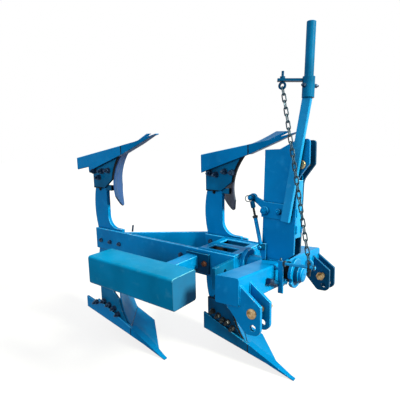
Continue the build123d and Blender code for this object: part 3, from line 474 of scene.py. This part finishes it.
def turned(bm, place, profile, sides=24):
    """A closed body of radius and height pairs turned about the frame's z; six sides make a hexagon."""
    rings = []
    for radius, z in profile:
        if radius == 0:
            rings.append([bm.verts.new(place @ Vector((0, 0, z)))])
        else:
            rings.append([bm.verts.new(place @ p) for p in coiled(sides, sides, radius, z)])
    for low, high in zip(rings, rings[1:]):
        for step in range(sides):
            after = (step + 1) % sides
            corners = [low[step % len(low)], low[after % len(low)]]
            corners += [high[after % len(high)], high[step % len(high)]]
            bm.faces.new(list(dict.fromkeys(corners)))


def swept(bm, points, radii, sides=10, closed=False):
    """A round tube along points, with one radius at each point."""
    count = len(points)
    rings = []
    across = None
    for i, point in enumerate(points):
        before = points[i - 1] if i or closed else point
        after = points[(i + 1) % count] if i + 1 < count or closed else point
        along = (after - before).normalized()
        if across is None:
            across = along.orthogonal().normalized()
        across = (across - along * across.dot(along)).normalized()
        other = along.cross(across)
        ring = []
        for x, y, _ in coiled(sides, sides, 1.0):
            ring.append(bm.verts.new(point + (across * x + other * y) * radii[i]))
        rings.append(ring)
    pairs = list(zip(rings, rings[1:]))
    if closed:
        pairs.append((rings[-1], rings[0]))
    for low, high in pairs:
        for step in range(sides):
            after = (step + 1) % sides
            bm.faces.new((low[step], low[after], high[after], high[step]))
    if not closed:
        bm.faces.new(rings[0][::-1])
        bm.faces.new(rings[-1])


def wire(bm, points, radius, sides):
    """A tube of even thickness along points in metres, its radius in millimetres."""
    swept(bm, points, [radius * MM] * len(points), sides)


def hexagon(bm, place, across, height):
    """A nut or bolt head with its top corners turned off."""
    radius = across / 2 / math.cos(math.pi / 6)
    turned(bm, place, [(0, 0), (radius, 0), (radius, height * 0.78), (radius * 0.86, height), (0, height)], 6)


def bolt(bm, place, across, height, stud=0.0):
    """Washer, hexagon and, for a nut, the end of its bolt, standing on the frame's xy plane."""
    # All in the usual proportions to the width across flats
    rim = across * 0.62
    thick = across * 0.12
    turned(bm, place, [(0, 0), (rim, 0), (rim, across * 0.08), (rim * 0.92, thick), (0, thick)])
    seat = raised(place, thick)
    hexagon(bm, seat, across, height)
    if stud:
        core = across * 0.27
        root = height * 0.9
        tip = height + stud
        turned(bm, seat, [(0, root), (core, root), (core, tip - core * 0.3), (core * 0.7, tip), (0, tip)], 16)


def weld(bm, place, corners, size):
    """A rippled bead of a size in metres, laid along corners in a frame's millimetres."""
    points = [place @ Vector(corner) for corner in corners]
    path = []
    step = size * 0.35
    for a, b in zip(points, points[1:]):
        count = max(2, int((b - a).length / step))
        for i in range(count):
            path.append(a.lerp(b, i / count))
    path.append(points[-1])
    # Each dip of the rod leaves a ripple, and the width wanders slowly
    radii = []
    for i in range(len(path)):
        ripple = 1 + 0.16 * math.sin(i * 1.9) + 0.07 * math.sin(i * 0.53)
        radii.append(size / 2 * ripple)
    radii[0] *= 0.6
    radii[-1] *= 0.6
    swept(bm, path, radii, 8)


def round_weld(bm, x, radius, count, size):
    """A bead round the turnover axis."""
    weld(bm, TURN, [(x, y, z) for y, z, _ in coiled(count + 1, count, radius)], size)


def piece(name, bm, finish, body, sharp=35.0):
    """Turns a bmesh into an object that rides on a body."""
    bmesh.ops.recalc_face_normals(bm, faces=bm.faces)
    mesh = bpy.data.meshes.new(name)
    bm.to_mesh(mesh)
    bm.free()
    mesh.materials.append(FINISHES[finish])
    mesh.polygons.foreach_set("use_smooth", [True] * len(mesh.polygons))
    mesh.set_sharp_from_angle(angle=math.radians(sharp))
    made = bpy.data.objects.new(name, mesh)
    bpy.context.scene.collection.objects.link(made)
    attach(made, body)
    return made


# Rounding of plates: points closer than this are one, in metres; flatter joins than this are one face, and
# sharper outer edges than this are rounded, in degrees
SAME_POINT = 1e-5
FLAT_JOIN = 0.6
SHARP_EDGE = 32


def edged(node_name, finish, width):
    """A copy of a plate with its outer edges rounded; the roundings carry the edge_line mask."""
    bm = bmesh.new()
    bm.from_mesh(NODES[node_name].data)
    bmesh.ops.remove_doubles(bm, verts=bm.verts, dist=SAME_POINT)
    bmesh.ops.dissolve_limit(bm, angle_limit=math.radians(FLAT_JOIN), verts=bm.verts, edges=bm.edges)
    outer = []
    for edge in bm.edges:
        if len(edge.link_faces) == 2 and edge.calc_face_angle_signed(0.0) > math.radians(SHARP_EDGE):
            outer.append(edge)
    shaped = bmesh.ops.bevel(bm, geom=outer, offset=width, offset_type="OFFSET", segments=2, profile=0.6,
                             affect="EDGES", clamp_overlap=True)
    mask = bm.loops.layers.float_color.new("edge_line")
    rounding = set(shaped["faces"])
    for face in bm.faces:
        value = 1.0 if face in rounding else 0.0
        for loop in face.loops:
            loop[mask] = (value, value, value, 1.0)
    body = NODES[node_name]["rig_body"]
    made = piece(node_name + "_shaped", bm, finish, body, 40.0)
    made.modifiers.new("Even shading", "WEIGHTED_NORMAL").keep_sharp = True
    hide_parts(node_name)
    return made


def second_skin(made, finish, place, inside):
    """Gives a piece another finish on the faces whose centres, in a frame's millimetres, pass a test."""
    made.data.materials.append(FINISHES[finish])
    local = place.inverted()
    for polygon in made.data.polygons:
        if inside(local @ polygon.center):
            polygon.material_index = 1


# Operators, one for each group of pieces

class PLOUGH_OT_finishes(bpy.types.Operator):
    """Makes the paint, steel and zinc that the pieces wear"""
    bl_idname = "plough.finishes"
    bl_label = "Finishes"

    def execute(self, context):
        s = context.scene.plough_finish
        # Fresh coat: an even strong blue, with a painted highlight along the upper edges
        FINISHES["paint"] = enamel("Blue enamel, sprayed", s, s.paint, s.paint_shade, s.edge)
        # Coat of the box: greener and duller, with a front end rubbed dark
        FINISHES["box"] = enamel(
            "Ballast box enamel, sprayed", s, s.box, linear("006892"), linear("5FA9BE"), 0.75, 0.02)
        # Darker, uneven copy of the paint: soil on the frogs, and painted shade on the front lower landside,
        # stop arm and lever, which sit in shade
        FINISHES["frog"] = enamel(
            "Blue enamel, soiled, painted shade", s, linear("016CA0"), linear("024A70"), linear("1E86BC"))
        # Thin coat on the shares and lower moldboards: flat, with dark edges and hardly any gloss
        FINISHES["work"] = enamel(
            "Blue enamel over hard steel", s, linear("0074B2"), linear("00649C"), linear("0C5E90"), 0.0, 0.02)
        # Coat under dust: paler, with whitish edges
        # Paler copy of the paint with whitish edges: dust, and painted light on the mast's front strip, lever
        # tube and latch bar
        FINISHES["dusty_lit"] = enamel(
            "Blue enamel, dusty", s, linear("1E92CE"), linear("1480BC"), linear("84D2F2"))
        # Coat under oil: nearly black, blue only where it is rubbed
        # Nearly black copy of the paint, blue only in rubbed patches: oil on handled parts, and painted shade
        # on plates that sit in shade
        FINISHES["oil_and_shade"] = enamel(
            "Blue enamel, oiled, painted shade", s, linear("01507F"), linear("02324F"), linear("1E86BC"))
        # Moldboard backs: violet film on one, bare grey on the other
        FINISHES["inner"] = rolled_steel("Moldboard plate, rolled and filmed", s.inner, linear("2C4A74"))
        FINISHES["grey"] = rolled_steel(
            "Moldboard plate, rolled and bare", linear("3E4252"), linear("565C6C"))
        # Fasteners: black, or dark blue where spray has drifted over them
        FINISHES["black"] = oxide_steel("Bolt steel, black oxide", s.black, 0.35, 0.55, 0.12)
        FINISHES["nuts"] = oxide_steel(
            "Nut steel, black oxide under paint spray", linear("0A2C4C"), 0.35, 0.55, 0.3)
        # A matt black line: painted shade in joints and on the inside faces of the deck and rear plate, with
        # soil and oil in the joints
        FINISHES["gap"] = oxide_steel("Joint gap, painted shade with soil and oil", linear("05080C"), 0.7, 0.9, 0.03)
        # Chain: grey blue, with brighter rubbed spots
        FINISHES["chain"] = oxide_steel("Chain steel, dull zinc", s.chain, 0.3, 0.5, 0.4)
        # Pins: dull gold
        FINISHES["pin"] = yellow_zinc("Pin steel, yellow zinc", s.pin)
        # Old bolt: brown and matt
        FINISHES["rust"] = oxide_steel("Bolt steel, rusted", s.rust, 0.7, 0.9, 0.05)
        return {"FINISHED"}


class PLOUGH_OT_plates(bpy.types.Operator):
    """Rounds the edges of the plates, tubes and castings and paints them"""
    bl_idname = "plough.plates"
    bl_label = "Plates"

    def execute(self, context):
        width = context.scene.plough_finish.edge_width
        for name in sorted(set(NODES) - REBUILT):
            usual = BODY_COATS.get(name.split("_")[-1], "paint")
            made = edged(name, COATS.get(name, usual), width)
            if name.endswith("_frog"):
                second_skin(made, "black", body_place(*name.split("_")[:2]), lambda at: at.y > STAY_FACE)
            # The collar, the deck's insides, the rear plate's inside and the arm flange get a darker finish
            # as painted shade
            if name == "turnover_shaft":
                second_skin(made, "oil_and_shade", TURN, lambda at: COLLAR_FROM < at.x < COLLAR_TO)
            if name.startswith("deck_plate"):
                second_skin(made, "gap", TURN, lambda at: abs(at.z) < DECK_INSIDE)
            if name == "cross_plate_rear":
                second_skin(made, "gap", TURN, lambda at: at.x > REAR_PLATE_FRONT)
            if name == "box_arm":
                second_skin(made, "oil_and_shade", TURN, lambda at: at.y > ARM_FLANGE)
        return {"FINISHED"}


class PLOUGH_OT_chain(bpy.types.Operator):
    """Bends the release chain's links from round wire and hangs them from the arm to the latch bar"""
    bl_idname = "plough.chain"
    bl_label = "Release chain"

    def execute(self, context):
        radius = context.scene.plough_parts.wire / 2
        run = CHAIN_FOOT - CHAIN_TOP
        along = run.normalized()
        side = Vector(LEFT)
        flat = side.cross(along).normalized()
        inner = (run.length - 2 * CHAIN_SEAT + LINK_BITE * (CHAIN_LINKS - 1)) / CHAIN_LINKS
        half = inner / 2 + LINK_WALL - LINK_BEND
        bm = bmesh.new()
        for index in range(CHAIN_LINKS):
            middle = CHAIN_TOP + along * (CHAIN_SEAT + inner / 2 + index * (inner - LINK_BITE))
            across = side if index % 2 == 0 else flat
            loop = []
            for end in (1, -1):
                for step in range(13):
                    angle = math.pi * step / 12
                    reach = half + LINK_BEND * math.sin(angle)
                    loop.append(middle + along * end * reach + across * end * LINK_BEND * math.cos(angle))
            swept(bm, [HEAD @ p for p in loop], [radius] * len(loop), 10, True)
        made = piece("release_chain_links", bm, "chain", "headstock", 60.0)
        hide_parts("release_chain")
        return {"FINISHED"}


class PLOUGH_OT_pins(bpy.types.Operator):
    """Turns the lower link pins, each with a socket in its head and a nut, and the headed top link pin"""
    bl_idname = "plough.pins"
    bl_label = "Hitch pins"

    def execute(self, context):
        head = LUG_HALF + PIN_HEAD
        tail = -LUG_HALF - LOWER_PIN_TAIL
        for name, side in zip(("hitch_pin_right", "hitch_pin_left"), HITCH_SIDES):
            bm = bmesh.new()
            place = HEAD @ facing((LOWER_PIN[0], side, LOWER_PIN[1]), LEFT if side > 0 else RIGHT)
            turned(bm, place, [
                (0, tail), (LOWER_PIN_RADIUS - 2, tail), (LOWER_PIN_RADIUS, tail + 2),
                (LOWER_PIN_RADIUS, LUG_HALF), (PIN_HEAD_RADIUS, LUG_HALF),
                (PIN_HEAD_RADIUS, head - 2.5), (PIN_HEAD_RADIUS - 1.5, head - 1),
                (12, head - 1), (11.5, head - 2), (0, head - 2)], 32)
            hexagon(bm, raised(place, head - 2), 15, 2.0)
            hexagon(bm, raised(place, tail + 4), 34, 16.5)
            made = piece(name + "_turned", bm, "pin", "headstock")
            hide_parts(name)
        bm = bmesh.new()
        place = HEAD @ facing((TOP_PIN[0], 0, TOP_PIN[1]), RIGHT)
        head = MAST_FACE + PIN_HEAD
        tail = -MAST_FACE - TOP_PIN_TAIL
        turned(bm, place, [
            (0, tail), (TOP_PIN_RADIUS - 1.5, tail), (TOP_PIN_RADIUS, tail + 2),
            (TOP_PIN_RADIUS, MAST_FACE), (PIN_HEAD_RADIUS, MAST_FACE),
            (PIN_HEAD_RADIUS, head - 2.5), (PIN_HEAD_RADIUS - 2, head), (0, head)], 32)
        made = piece("top_link_pin_turned", bm, "pin", "headstock")
        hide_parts("top_link_pin")
        return {"FINISHED"}


class PLOUGH_OT_link_rod(bpy.types.Operator):
    """Builds the link rod: eyes, forked end, tube, lock nut, thread and split ring"""
    bl_idname = "plough.link_rod"
    bl_label = "Link rod"

    def execute(self, context):
        pitch = context.scene.plough_parts.thread / MM
        run = ROD_HEAD - ROD_FOOT
        place = HEAD @ facing(ROD_FOOT, run)
        total = run.length
        bm = bmesh.new()
        for end in (ROD_FOOT, ROD_HEAD):
            turned(bm, HEAD @ facing(end, LEFT), ROD_EYE, 28)
        turned(bm, raised(place, total - FORK_DROP), ROD_FORK, 20)
        ends = piece("link_rod_ends", bm, "oil_and_shade", "headstock")
        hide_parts("link_rod")
        bm = bmesh.new()
        top = total - TUBE_DROP
        turned(bm, place, [(0, 12), (9, 12), (8.5, 20), (8.5, top), (0, top)], 20)
        tube = piece("link_rod_tube", bm, "paint", "headstock")
        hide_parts("link_rod")
        bm = bmesh.new()
        hexagon(bm, raised(place, total - LOCK_NUT_DROP), 20, 11)
        start = total - THREAD_DROP
        end = total - CORE_END
        turned(bm, place, [(0, start), (THREAD_CORE, start), (THREAD_CORE, end), (0, end)], 16)
        steps = int((THREAD_DROP - THREAD_END) / pitch * 16)
        rise = (THREAD_DROP - THREAD_END) / steps
        wire(bm, [place @ p for p in coiled(steps + 1, 16, THREAD_RADIUS, start, rise)], THREAD_RIDGE, 6)
        thread = piece("link_rod_thread", bm, "black", "headstock")
        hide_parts("link_rod")
        bm = bmesh.new()
        # A little over one turn, with its ends side by side
        turn = coiled(40, 36, RING_RADIUS, 0.0, 0.15)
        wire(bm, [HEAD @ (RING_MIDDLE + Vector((x, z, y))) for x, y, z in turn], RING_WIRE, 8)
        piece("link_rod_split_ring", bm, "chain", "headstock")
        return {"FINISHED"}


class PLOUGH_OT_frog_nuts(bpy.types.Operator):
    """Bolts each landside, moldboard and shank to its frog, and lays dark beads of painted shade along the
    joints between them
    """
    bl_idname = "plough.frog_nuts"
    bl_label = "Frog nuts"

    def execute(self, context):
        size = context.scene.plough_parts.nut / MM
        for (row, level), seats in FROG_NUTS.items():
            place = body_place(row, level)
            bm = bmesh.new()
            for x, height in seats:
                face = FROG_FACE if x > FROG_END else 0.0
                bolt(bm, place @ facing((x, face, height), RIGHT, x), size, size * 0.75, size * 0.6)
            # The front lower body's nuts take the black finish as painted shade, since that frog sits in
            # shade
            coat = "black" if (row, level) == ("front", "lower") else "nuts"
            piece(f"{row}_{level}_frog_nuts", bm, coat, "plough_frame")
            # Dark beads along the joints: painted shade, with soil
            bm = bmesh.new()
            for joint, width in JOINT_LINES:
                weld(bm, place, joint, width * MM)
            bolt(bm, place @ facing(STAY_BOLT, RIGHT, 0.2), 13, 6)
            # The rear lower body's joint beads are lighter and the others matt black, so the painted shade is
            # weaker where that body is lit
            coat = "oil_and_shade" if (row, level) == ("rear", "lower") else "gap"
            piece(f"{row}_{level}_joint_gaps", bm, coat, "plough_frame", 60.0)
        return {"FINISHED"}


class PLOUGH_OT_frame_bolts(bpy.types.Operator):
    """Bolts the shanks, the box arm and the stop to the turning frame"""
    bl_idname = "plough.frame_bolts"
    bl_label = "Frame bolts"

    def execute(self, context):
        size = context.scene.plough_parts.beam_bolt / MM
        head = size * 0.55
        end = size * 0.3
        bm = bmesh.new()
        # Each bolt is turned by its place, so that no two stand alike
        for x in REAR_SHANK_BOLTS:
            bolt(bm, TURN @ facing((x, RIGHT_BEAM_FACE, REAR_BOLT_HEIGHT), RIGHT, x), size, head, end)
            bolt(bm, TURN @ facing((x, RIGHT_SHANK_FACE, REAR_BOLT_HEIGHT), LEFT, x), size, head, size * 0.4)
        for x in FRONT_SHANK_BOLTS:
            for z in FRONT_BOLT_HEIGHTS:
                bolt(bm, TURN @ facing((x, LEFT_BEAM_FACE, z), RIGHT, x), size, head, end)
        bolt(bm, TURN @ facing(SPARE_BOLT, RIGHT, 0.3), size, head, end)
        for x, way in zip(STOP_FACES, (AHEAD, BACK)):
            bolt(bm, TURN @ facing((x, *STOP_SLOT), way, 0.3), 24, 13, 9)
        turned(bm, TURN @ facing(CLIP_PIN, (0.2, 0, 1)), [(0, 0), (5, 0), (5, 34), (3.5, 38), (0, 38)], 16)
        piece("frame_bolts", bm, "nuts", "plough_frame")
        bm = bmesh.new()
        bolt(bm, TURN @ facing(CLAMP_BOLT, RIGHT, 0.4), size * 1.1, head, size * 0.25)
        piece("clamp_bolts", bm, "rust", "plough_frame")
        return {"FINISHED"}


class PLOUGH_OT_headstock_fittings(bpy.types.Operator):
    """Adds the latch's washers, shackle, rod and spring, the shaft's seal and cap, and the lever's bolts"""
    bl_idname = "plough.headstock_fittings"
    bl_label = "Headstock fittings"

    def execute(self, context):
        bm = bmesh.new()
        washer = [(6, 0), (12, 0), (12, 3), (6, 3), (6, 0)]
        for x in LATCH_WASHERS:
            turned(bm, HEAD @ facing((x, *LATCH_BAR), AHEAD), washer, 28)
        collar = [(6, 0), (9, 0), (9, 4), (6, 4), (6, 0)]
        turned(bm, HEAD @ facing((LATCH_RING, *LATCH_BAR), AHEAD), collar, 24)
        bolt(bm, HEAD @ facing(LATCH_BOLT, UP), 9, 6, 4)
        piece("latch_washers", bm, "chain", "headstock")
        bm = bmesh.new()
        foot = CHAIN_FOOT + Vector((0, 0, -SHACKLE_DROP))
        arch = [foot + Vector((0, SHACKLE_HALF, -SHACKLE_LEG))]
        for step in range(17):
            angle = math.pi * step / 16
            height = SHACKLE_SHOULDER + SHACKLE_BOW * math.sin(angle)
            arch.append(foot + Vector((0, SHACKLE_HALF * math.cos(angle), height)))
        arch.append(foot + Vector((0, -SHACKLE_HALF, -SHACKLE_LEG)))
        wire(bm, [HEAD @ p for p in arch], SHACKLE_WIRE, 10)
        under = CHAIN_FOOT + Vector((0, 0, -SHACKLE_BOLT_DROP))
        turned(bm, HEAD @ facing(under, DOWN), [(0, 0), (6, 0), (6, 26), (4.5, 28), (0, 28)], 18)
        bolt(bm, HEAD @ facing(under + Vector(UP), DOWN, 0.4), 15, 9)
        piece("chain_shackle", bm, "black", "headstock")
        bm = bmesh.new()
        start, end = LATCH_ROD
        reach = (end - start).length
        rod = HEAD @ facing(start, end - start)
        turned(bm, rod, [(0, 0), (9, 0), (9, reach - 6), (6.5, reach), (0, reach)], 24)
        piece("latch_rod", bm, "oil_and_shade", "headstock")
        bm = bmesh.new()
        steps = SPRING_TURNS * 14
        coil = coiled(steps + 1, 14, SPRING_RADIUS, 2.0, SPRING_LENGTH / steps)
        wire(bm, [rod @ p for p in coil], SPRING_WIRE, 8)
        turned(bm, raised(rod, -5), [(0, 0), (11, 0), (12, 1), (12, 5), (9, 6), (0, 6)], 24)
        piece("latch_spring", bm, "nuts", "headstock")
        bm = bmesh.new()
        sleeve = [(42.2, 0), (43.4, 1), (43.4, 27), (42.2, 28), (42.2, 0)]
        turned(bm, TURN @ facing((SHAFT_SEAL, 0, 0), AHEAD), sleeve, 48)
        piece("shaft_seal", bm, "gap", "headstock")
        bm = bmesh.new()
        for x, z, across, head, stud, spin in CRANK_BOLTS:
            bolt(bm, HEAD @ facing((x, -CRANK_FACE, z), RIGHT, spin), across, head, stud)
            bolt(bm, HEAD @ facing((x, -MAST_INSIDE, z), LEFT), *CRANK_NUT)
        piece("crank_bolt_heads", bm, "paint", "headstock")
        bm = bmesh.new()
        socket = LEVER_FOOT + leaning(TUBE_TILT) * TUBE_LENGTH + leaning(SOCKET_TILT) * SOCKET_MIDDLE
        for way in SOCKET_BOLTS:
            bolt(bm, HEAD @ facing(socket + Vector(way) * SOCKET_RADIUS, way, 0.3), 15, 9, 6)
        piece("socket_bolts", bm, "nuts", "headstock")
        bm = bmesh.new()
        cap = [(0, 0), (26, 0), (26, 1.5), (24, 2.5), (5, 2.5), (4, 0.5), (0, 0.5)]
        turned(bm, TURN @ facing((SHAFT_CAP, 0, 0), AHEAD), cap, 40)
        piece("shaft_cap", bm, "paint", "plough_frame")
        return {"FINISHED"}


# Weld runs, start and end. On the headstock: just proud of the cross beam's top, front and under faces along
# the mast, lugs and latch tab, and stitches along the mast's front plate
BEAM_TOP, BEAM_FRONT, BEAM_UNDER = 51, -48, -51
MAST_WELDS = [((-145, y, BEAM_TOP), (-52, y, BEAM_TOP)) for y in (-MAST_FACE, MAST_FACE)]
LUG_FACES = [side + face for side in HITCH_SIDES for face in (-LUG_HALF, -LUG_GAP, LUG_GAP, LUG_HALF)]
LUG_WELDS = (
    [((BEAM_FRONT, y, 18), (BEAM_FRONT, y, -48)) for y in LUG_FACES]
    + [((-52, y, BEAM_UNDER), (-104, y, BEAM_UNDER)) for y in LUG_FACES])
LATCH_WELDS = [((BEAM_FRONT, y, 40), (BEAM_FRONT, y, 33)) for y in (-118, -102)]
MAST_STITCHES = [((3, y, z), (4, y, z + 34)) for z in (170, 240, 310, 380) for y in (-26, 26)]
# On the turning frame: box arm at both its ends, deck along the beams, stop arm
ARM_ENDS = (-335, -124)
ARM_WELDS = (
    [((-498, y, z), (-438, y, z)) for z in (30, -30) for y in ARM_ENDS]
    + [((x, y, -30), (x, y, 30)) for x in (-498, -438) for y in ARM_ENDS])
DECK_WELDS = [((-246, y, 61), (-452, y, 61)) for y in (-94, 123)]
STOP_WELDS = (
    [((STOP_FACES[0], -113, z), (STOP_FACES[1], -113, z)) for z in (-46, 46)]
    + [((x, -113, -46), (x, -113, 46)) for x in STOP_FACES])
# Round beads about the turnover axis: x, radius and number of steps, at the housing and the rear flange
HOUSING_WELD = (-49.5, 43, 36)
FLANGE_WELD = (-245, 66, 48)


class PLOUGH_OT_welds(bpy.types.Operator):
    """Lays the weld beads where plates meet"""
    bl_idname = "plough.welds"
    bl_label = "Welds"

    def execute(self, context):
        size = context.scene.plough_parts.weld
        bm = bmesh.new()
        for run in MAST_WELDS + LUG_WELDS + LATCH_WELDS + MAST_STITCHES:
            weld(bm, HEAD, run, size)
        round_weld(bm, *HOUSING_WELD, size)
        piece("headstock_welds", bm, "paint", "headstock", 70.0)
        bm = bmesh.new()
        for run in ARM_WELDS + DECK_WELDS + STOP_WELDS:
            weld(bm, TURN, run, size)
        round_weld(bm, *FLANGE_WELD, size)
        piece("frame_welds", bm, "paint", "plough_frame", 70.0)
        return {"FINISHED"}


def looked_at(tree):
    """1 for a ray that shows the background to the eye, straight, mirrored or through glass."""
    path = node(tree, "LightPath")
    seen = path["Is Camera Ray"]
    for ray in ("Is Glossy Ray", "Is Transmission Ray"):
        seen = node(tree, "Math", {0: seen, 1: path[ray]}, operation="MAXIMUM")[0]
    return seen


class PLOUGH_OT_stage(bpy.types.Operator):
    """Lays the floor and sets the lamps, sky and camera"""
    bl_idname = "plough.stage"
    bl_label = "Stage"

    def execute(self, context):
        scene = context.scene
        s = scene.plough_stage
        half = s.floor / 2
        mesh = bpy.data.meshes.new("floor")
        corners = [(-half, -half, 0), (half, -half, 0), (half, half, 0), (-half, half, 0)]
        mesh.from_pydata(corners, [], [(0, 1, 2, 3)])
        floor = bpy.data.objects.new("floor", mesh)
        scene.collection.objects.link(floor)
        # Matt white paper sweep: it shows white to the eye, keeps the shadow and throws back little light
        material, tree = fresh("Paper, matt white")
        seen = looked_at(tree)
        tone = coats(tree, s.bounce, [(seen, linear("F3F3F3"))])
        matt = node(tree, "BsdfDiffuse", {"Color": tone})["BSDF"]
        glow = node(tree, "Emission", {"Color": linear("FFFFFF"), "Strength": 1.0})["Emission"]
        share = node(tree, "MapRange", {"Value": seen, **span(0.0, 1.0, 0.0, 0.80)})["Result"]
        both = node(tree, "MixShader", {0: share, 1: matt, 2: glow})["Shader"]
        node(tree, "OutputMaterial", {"Surface": both})
        mesh.materials.append(material)
        # Overcast sky: bright overhead, dull near the ground, plain white where it is looked at
        world = bpy.data.worlds.new("Sky")
        scene.world = world
        world.use_nodes = True
        tree = world.node_tree
        tree.nodes.clear()
        up = node(tree, "SeparateXYZ", {"Vector": node(tree, "TexCoord")["Generated"]})["Z"]
        dome = node(tree, "MapRange", {"Value": up, **span(0.0, 0.9, s.fill * 0.35, s.fill)})["Result"]
        strength = node(tree, "Mix", {"Factor": looked_at(tree), "A": dome, "B": 1.0})["Result"]
        sky = node(tree, "Background", {"Color": linear("FFFFFF"), "Strength": strength})["Background"]
        node(tree, "OutputWorld", {"Surface": sky})
        for (name, spread, way, tint), energy in zip(LAMPS, (s.sun, s.side)):
            lamp = bpy.data.lights.new(name, "SUN")
            lamp.energy = energy
            lamp.color = tint
            lamp.angle = math.radians(spread)
            made = bpy.data.objects.new(name, lamp)
            made.visible_glossy = name == "Key"
            made.rotation_euler = Vector(way).to_track_quat("Z", "Y").to_euler()
            scene.collection.objects.link(made)
        eye = bpy.data.cameras.new("Camera")
        eye.sensor_width = 36.0
        eye.lens = s.lens
        camera = bpy.data.objects.new("Camera", eye)
        camera.location = ORIGIN + CAMERA_PLACE
        camera.rotation_euler = Euler([math.radians(a) for a in CAMERA_TURN])
        scene.collection.objects.link(camera)
        scene.camera = camera
        scene.view_settings.view_transform = "Standard"
        return {"FINISHED"}


class PLOUGH_PT_dressing(bpy.types.Panel):
    """Lists the steps in the order they run, and the settings"""
    bl_idname = "PLOUGH_PT_dressing"
    bl_label = "Plough"
    bl_space_type = "VIEW_3D"
    bl_region_type = "UI"
    bl_category = "Plough"

    def draw(self, context):
        for step in STEPS:
            self.layout.operator(step.bl_idname)
        for group in SETTINGS:
            settings = getattr(context.scene, group)
            for key in settings.__annotations__:
                self.layout.prop(settings, key)


SETTINGS = {"plough_finish": PloughFinish, "plough_parts": PloughParts, "plough_stage": PloughStage}
STEPS = (
    PLOUGH_OT_finishes,
    PLOUGH_OT_plates,
    PLOUGH_OT_chain,
    PLOUGH_OT_pins,
    PLOUGH_OT_link_rod,
    PLOUGH_OT_frog_nuts,
    PLOUGH_OT_frame_bolts,
    PLOUGH_OT_headstock_fittings,
    PLOUGH_OT_welds,
    PLOUGH_OT_stage,
)


def register():
    for group in SETTINGS.values():
        bpy.utils.register_class(group)
    for name, group in SETTINGS.items():
        setattr(bpy.types.Scene, name, bpy.props.PointerProperty(type=group))
    for step in STEPS:
        bpy.utils.register_class(step)
    bpy.utils.register_class(PLOUGH_PT_dressing)


def unregister():
    bpy.utils.unregister_class(PLOUGH_PT_dressing)
    for step in reversed(STEPS):
        bpy.utils.unregister_class(step)
    for name, group in SETTINGS.items():
        delattr(bpy.types.Scene, name)
        bpy.utils.unregister_class(group)


def main():
    register()
    for step in STEPS:
        family, action = step.bl_idname.split(".")
        getattr(getattr(bpy.ops, family), action)()


if __name__ == "__main__":
    main()
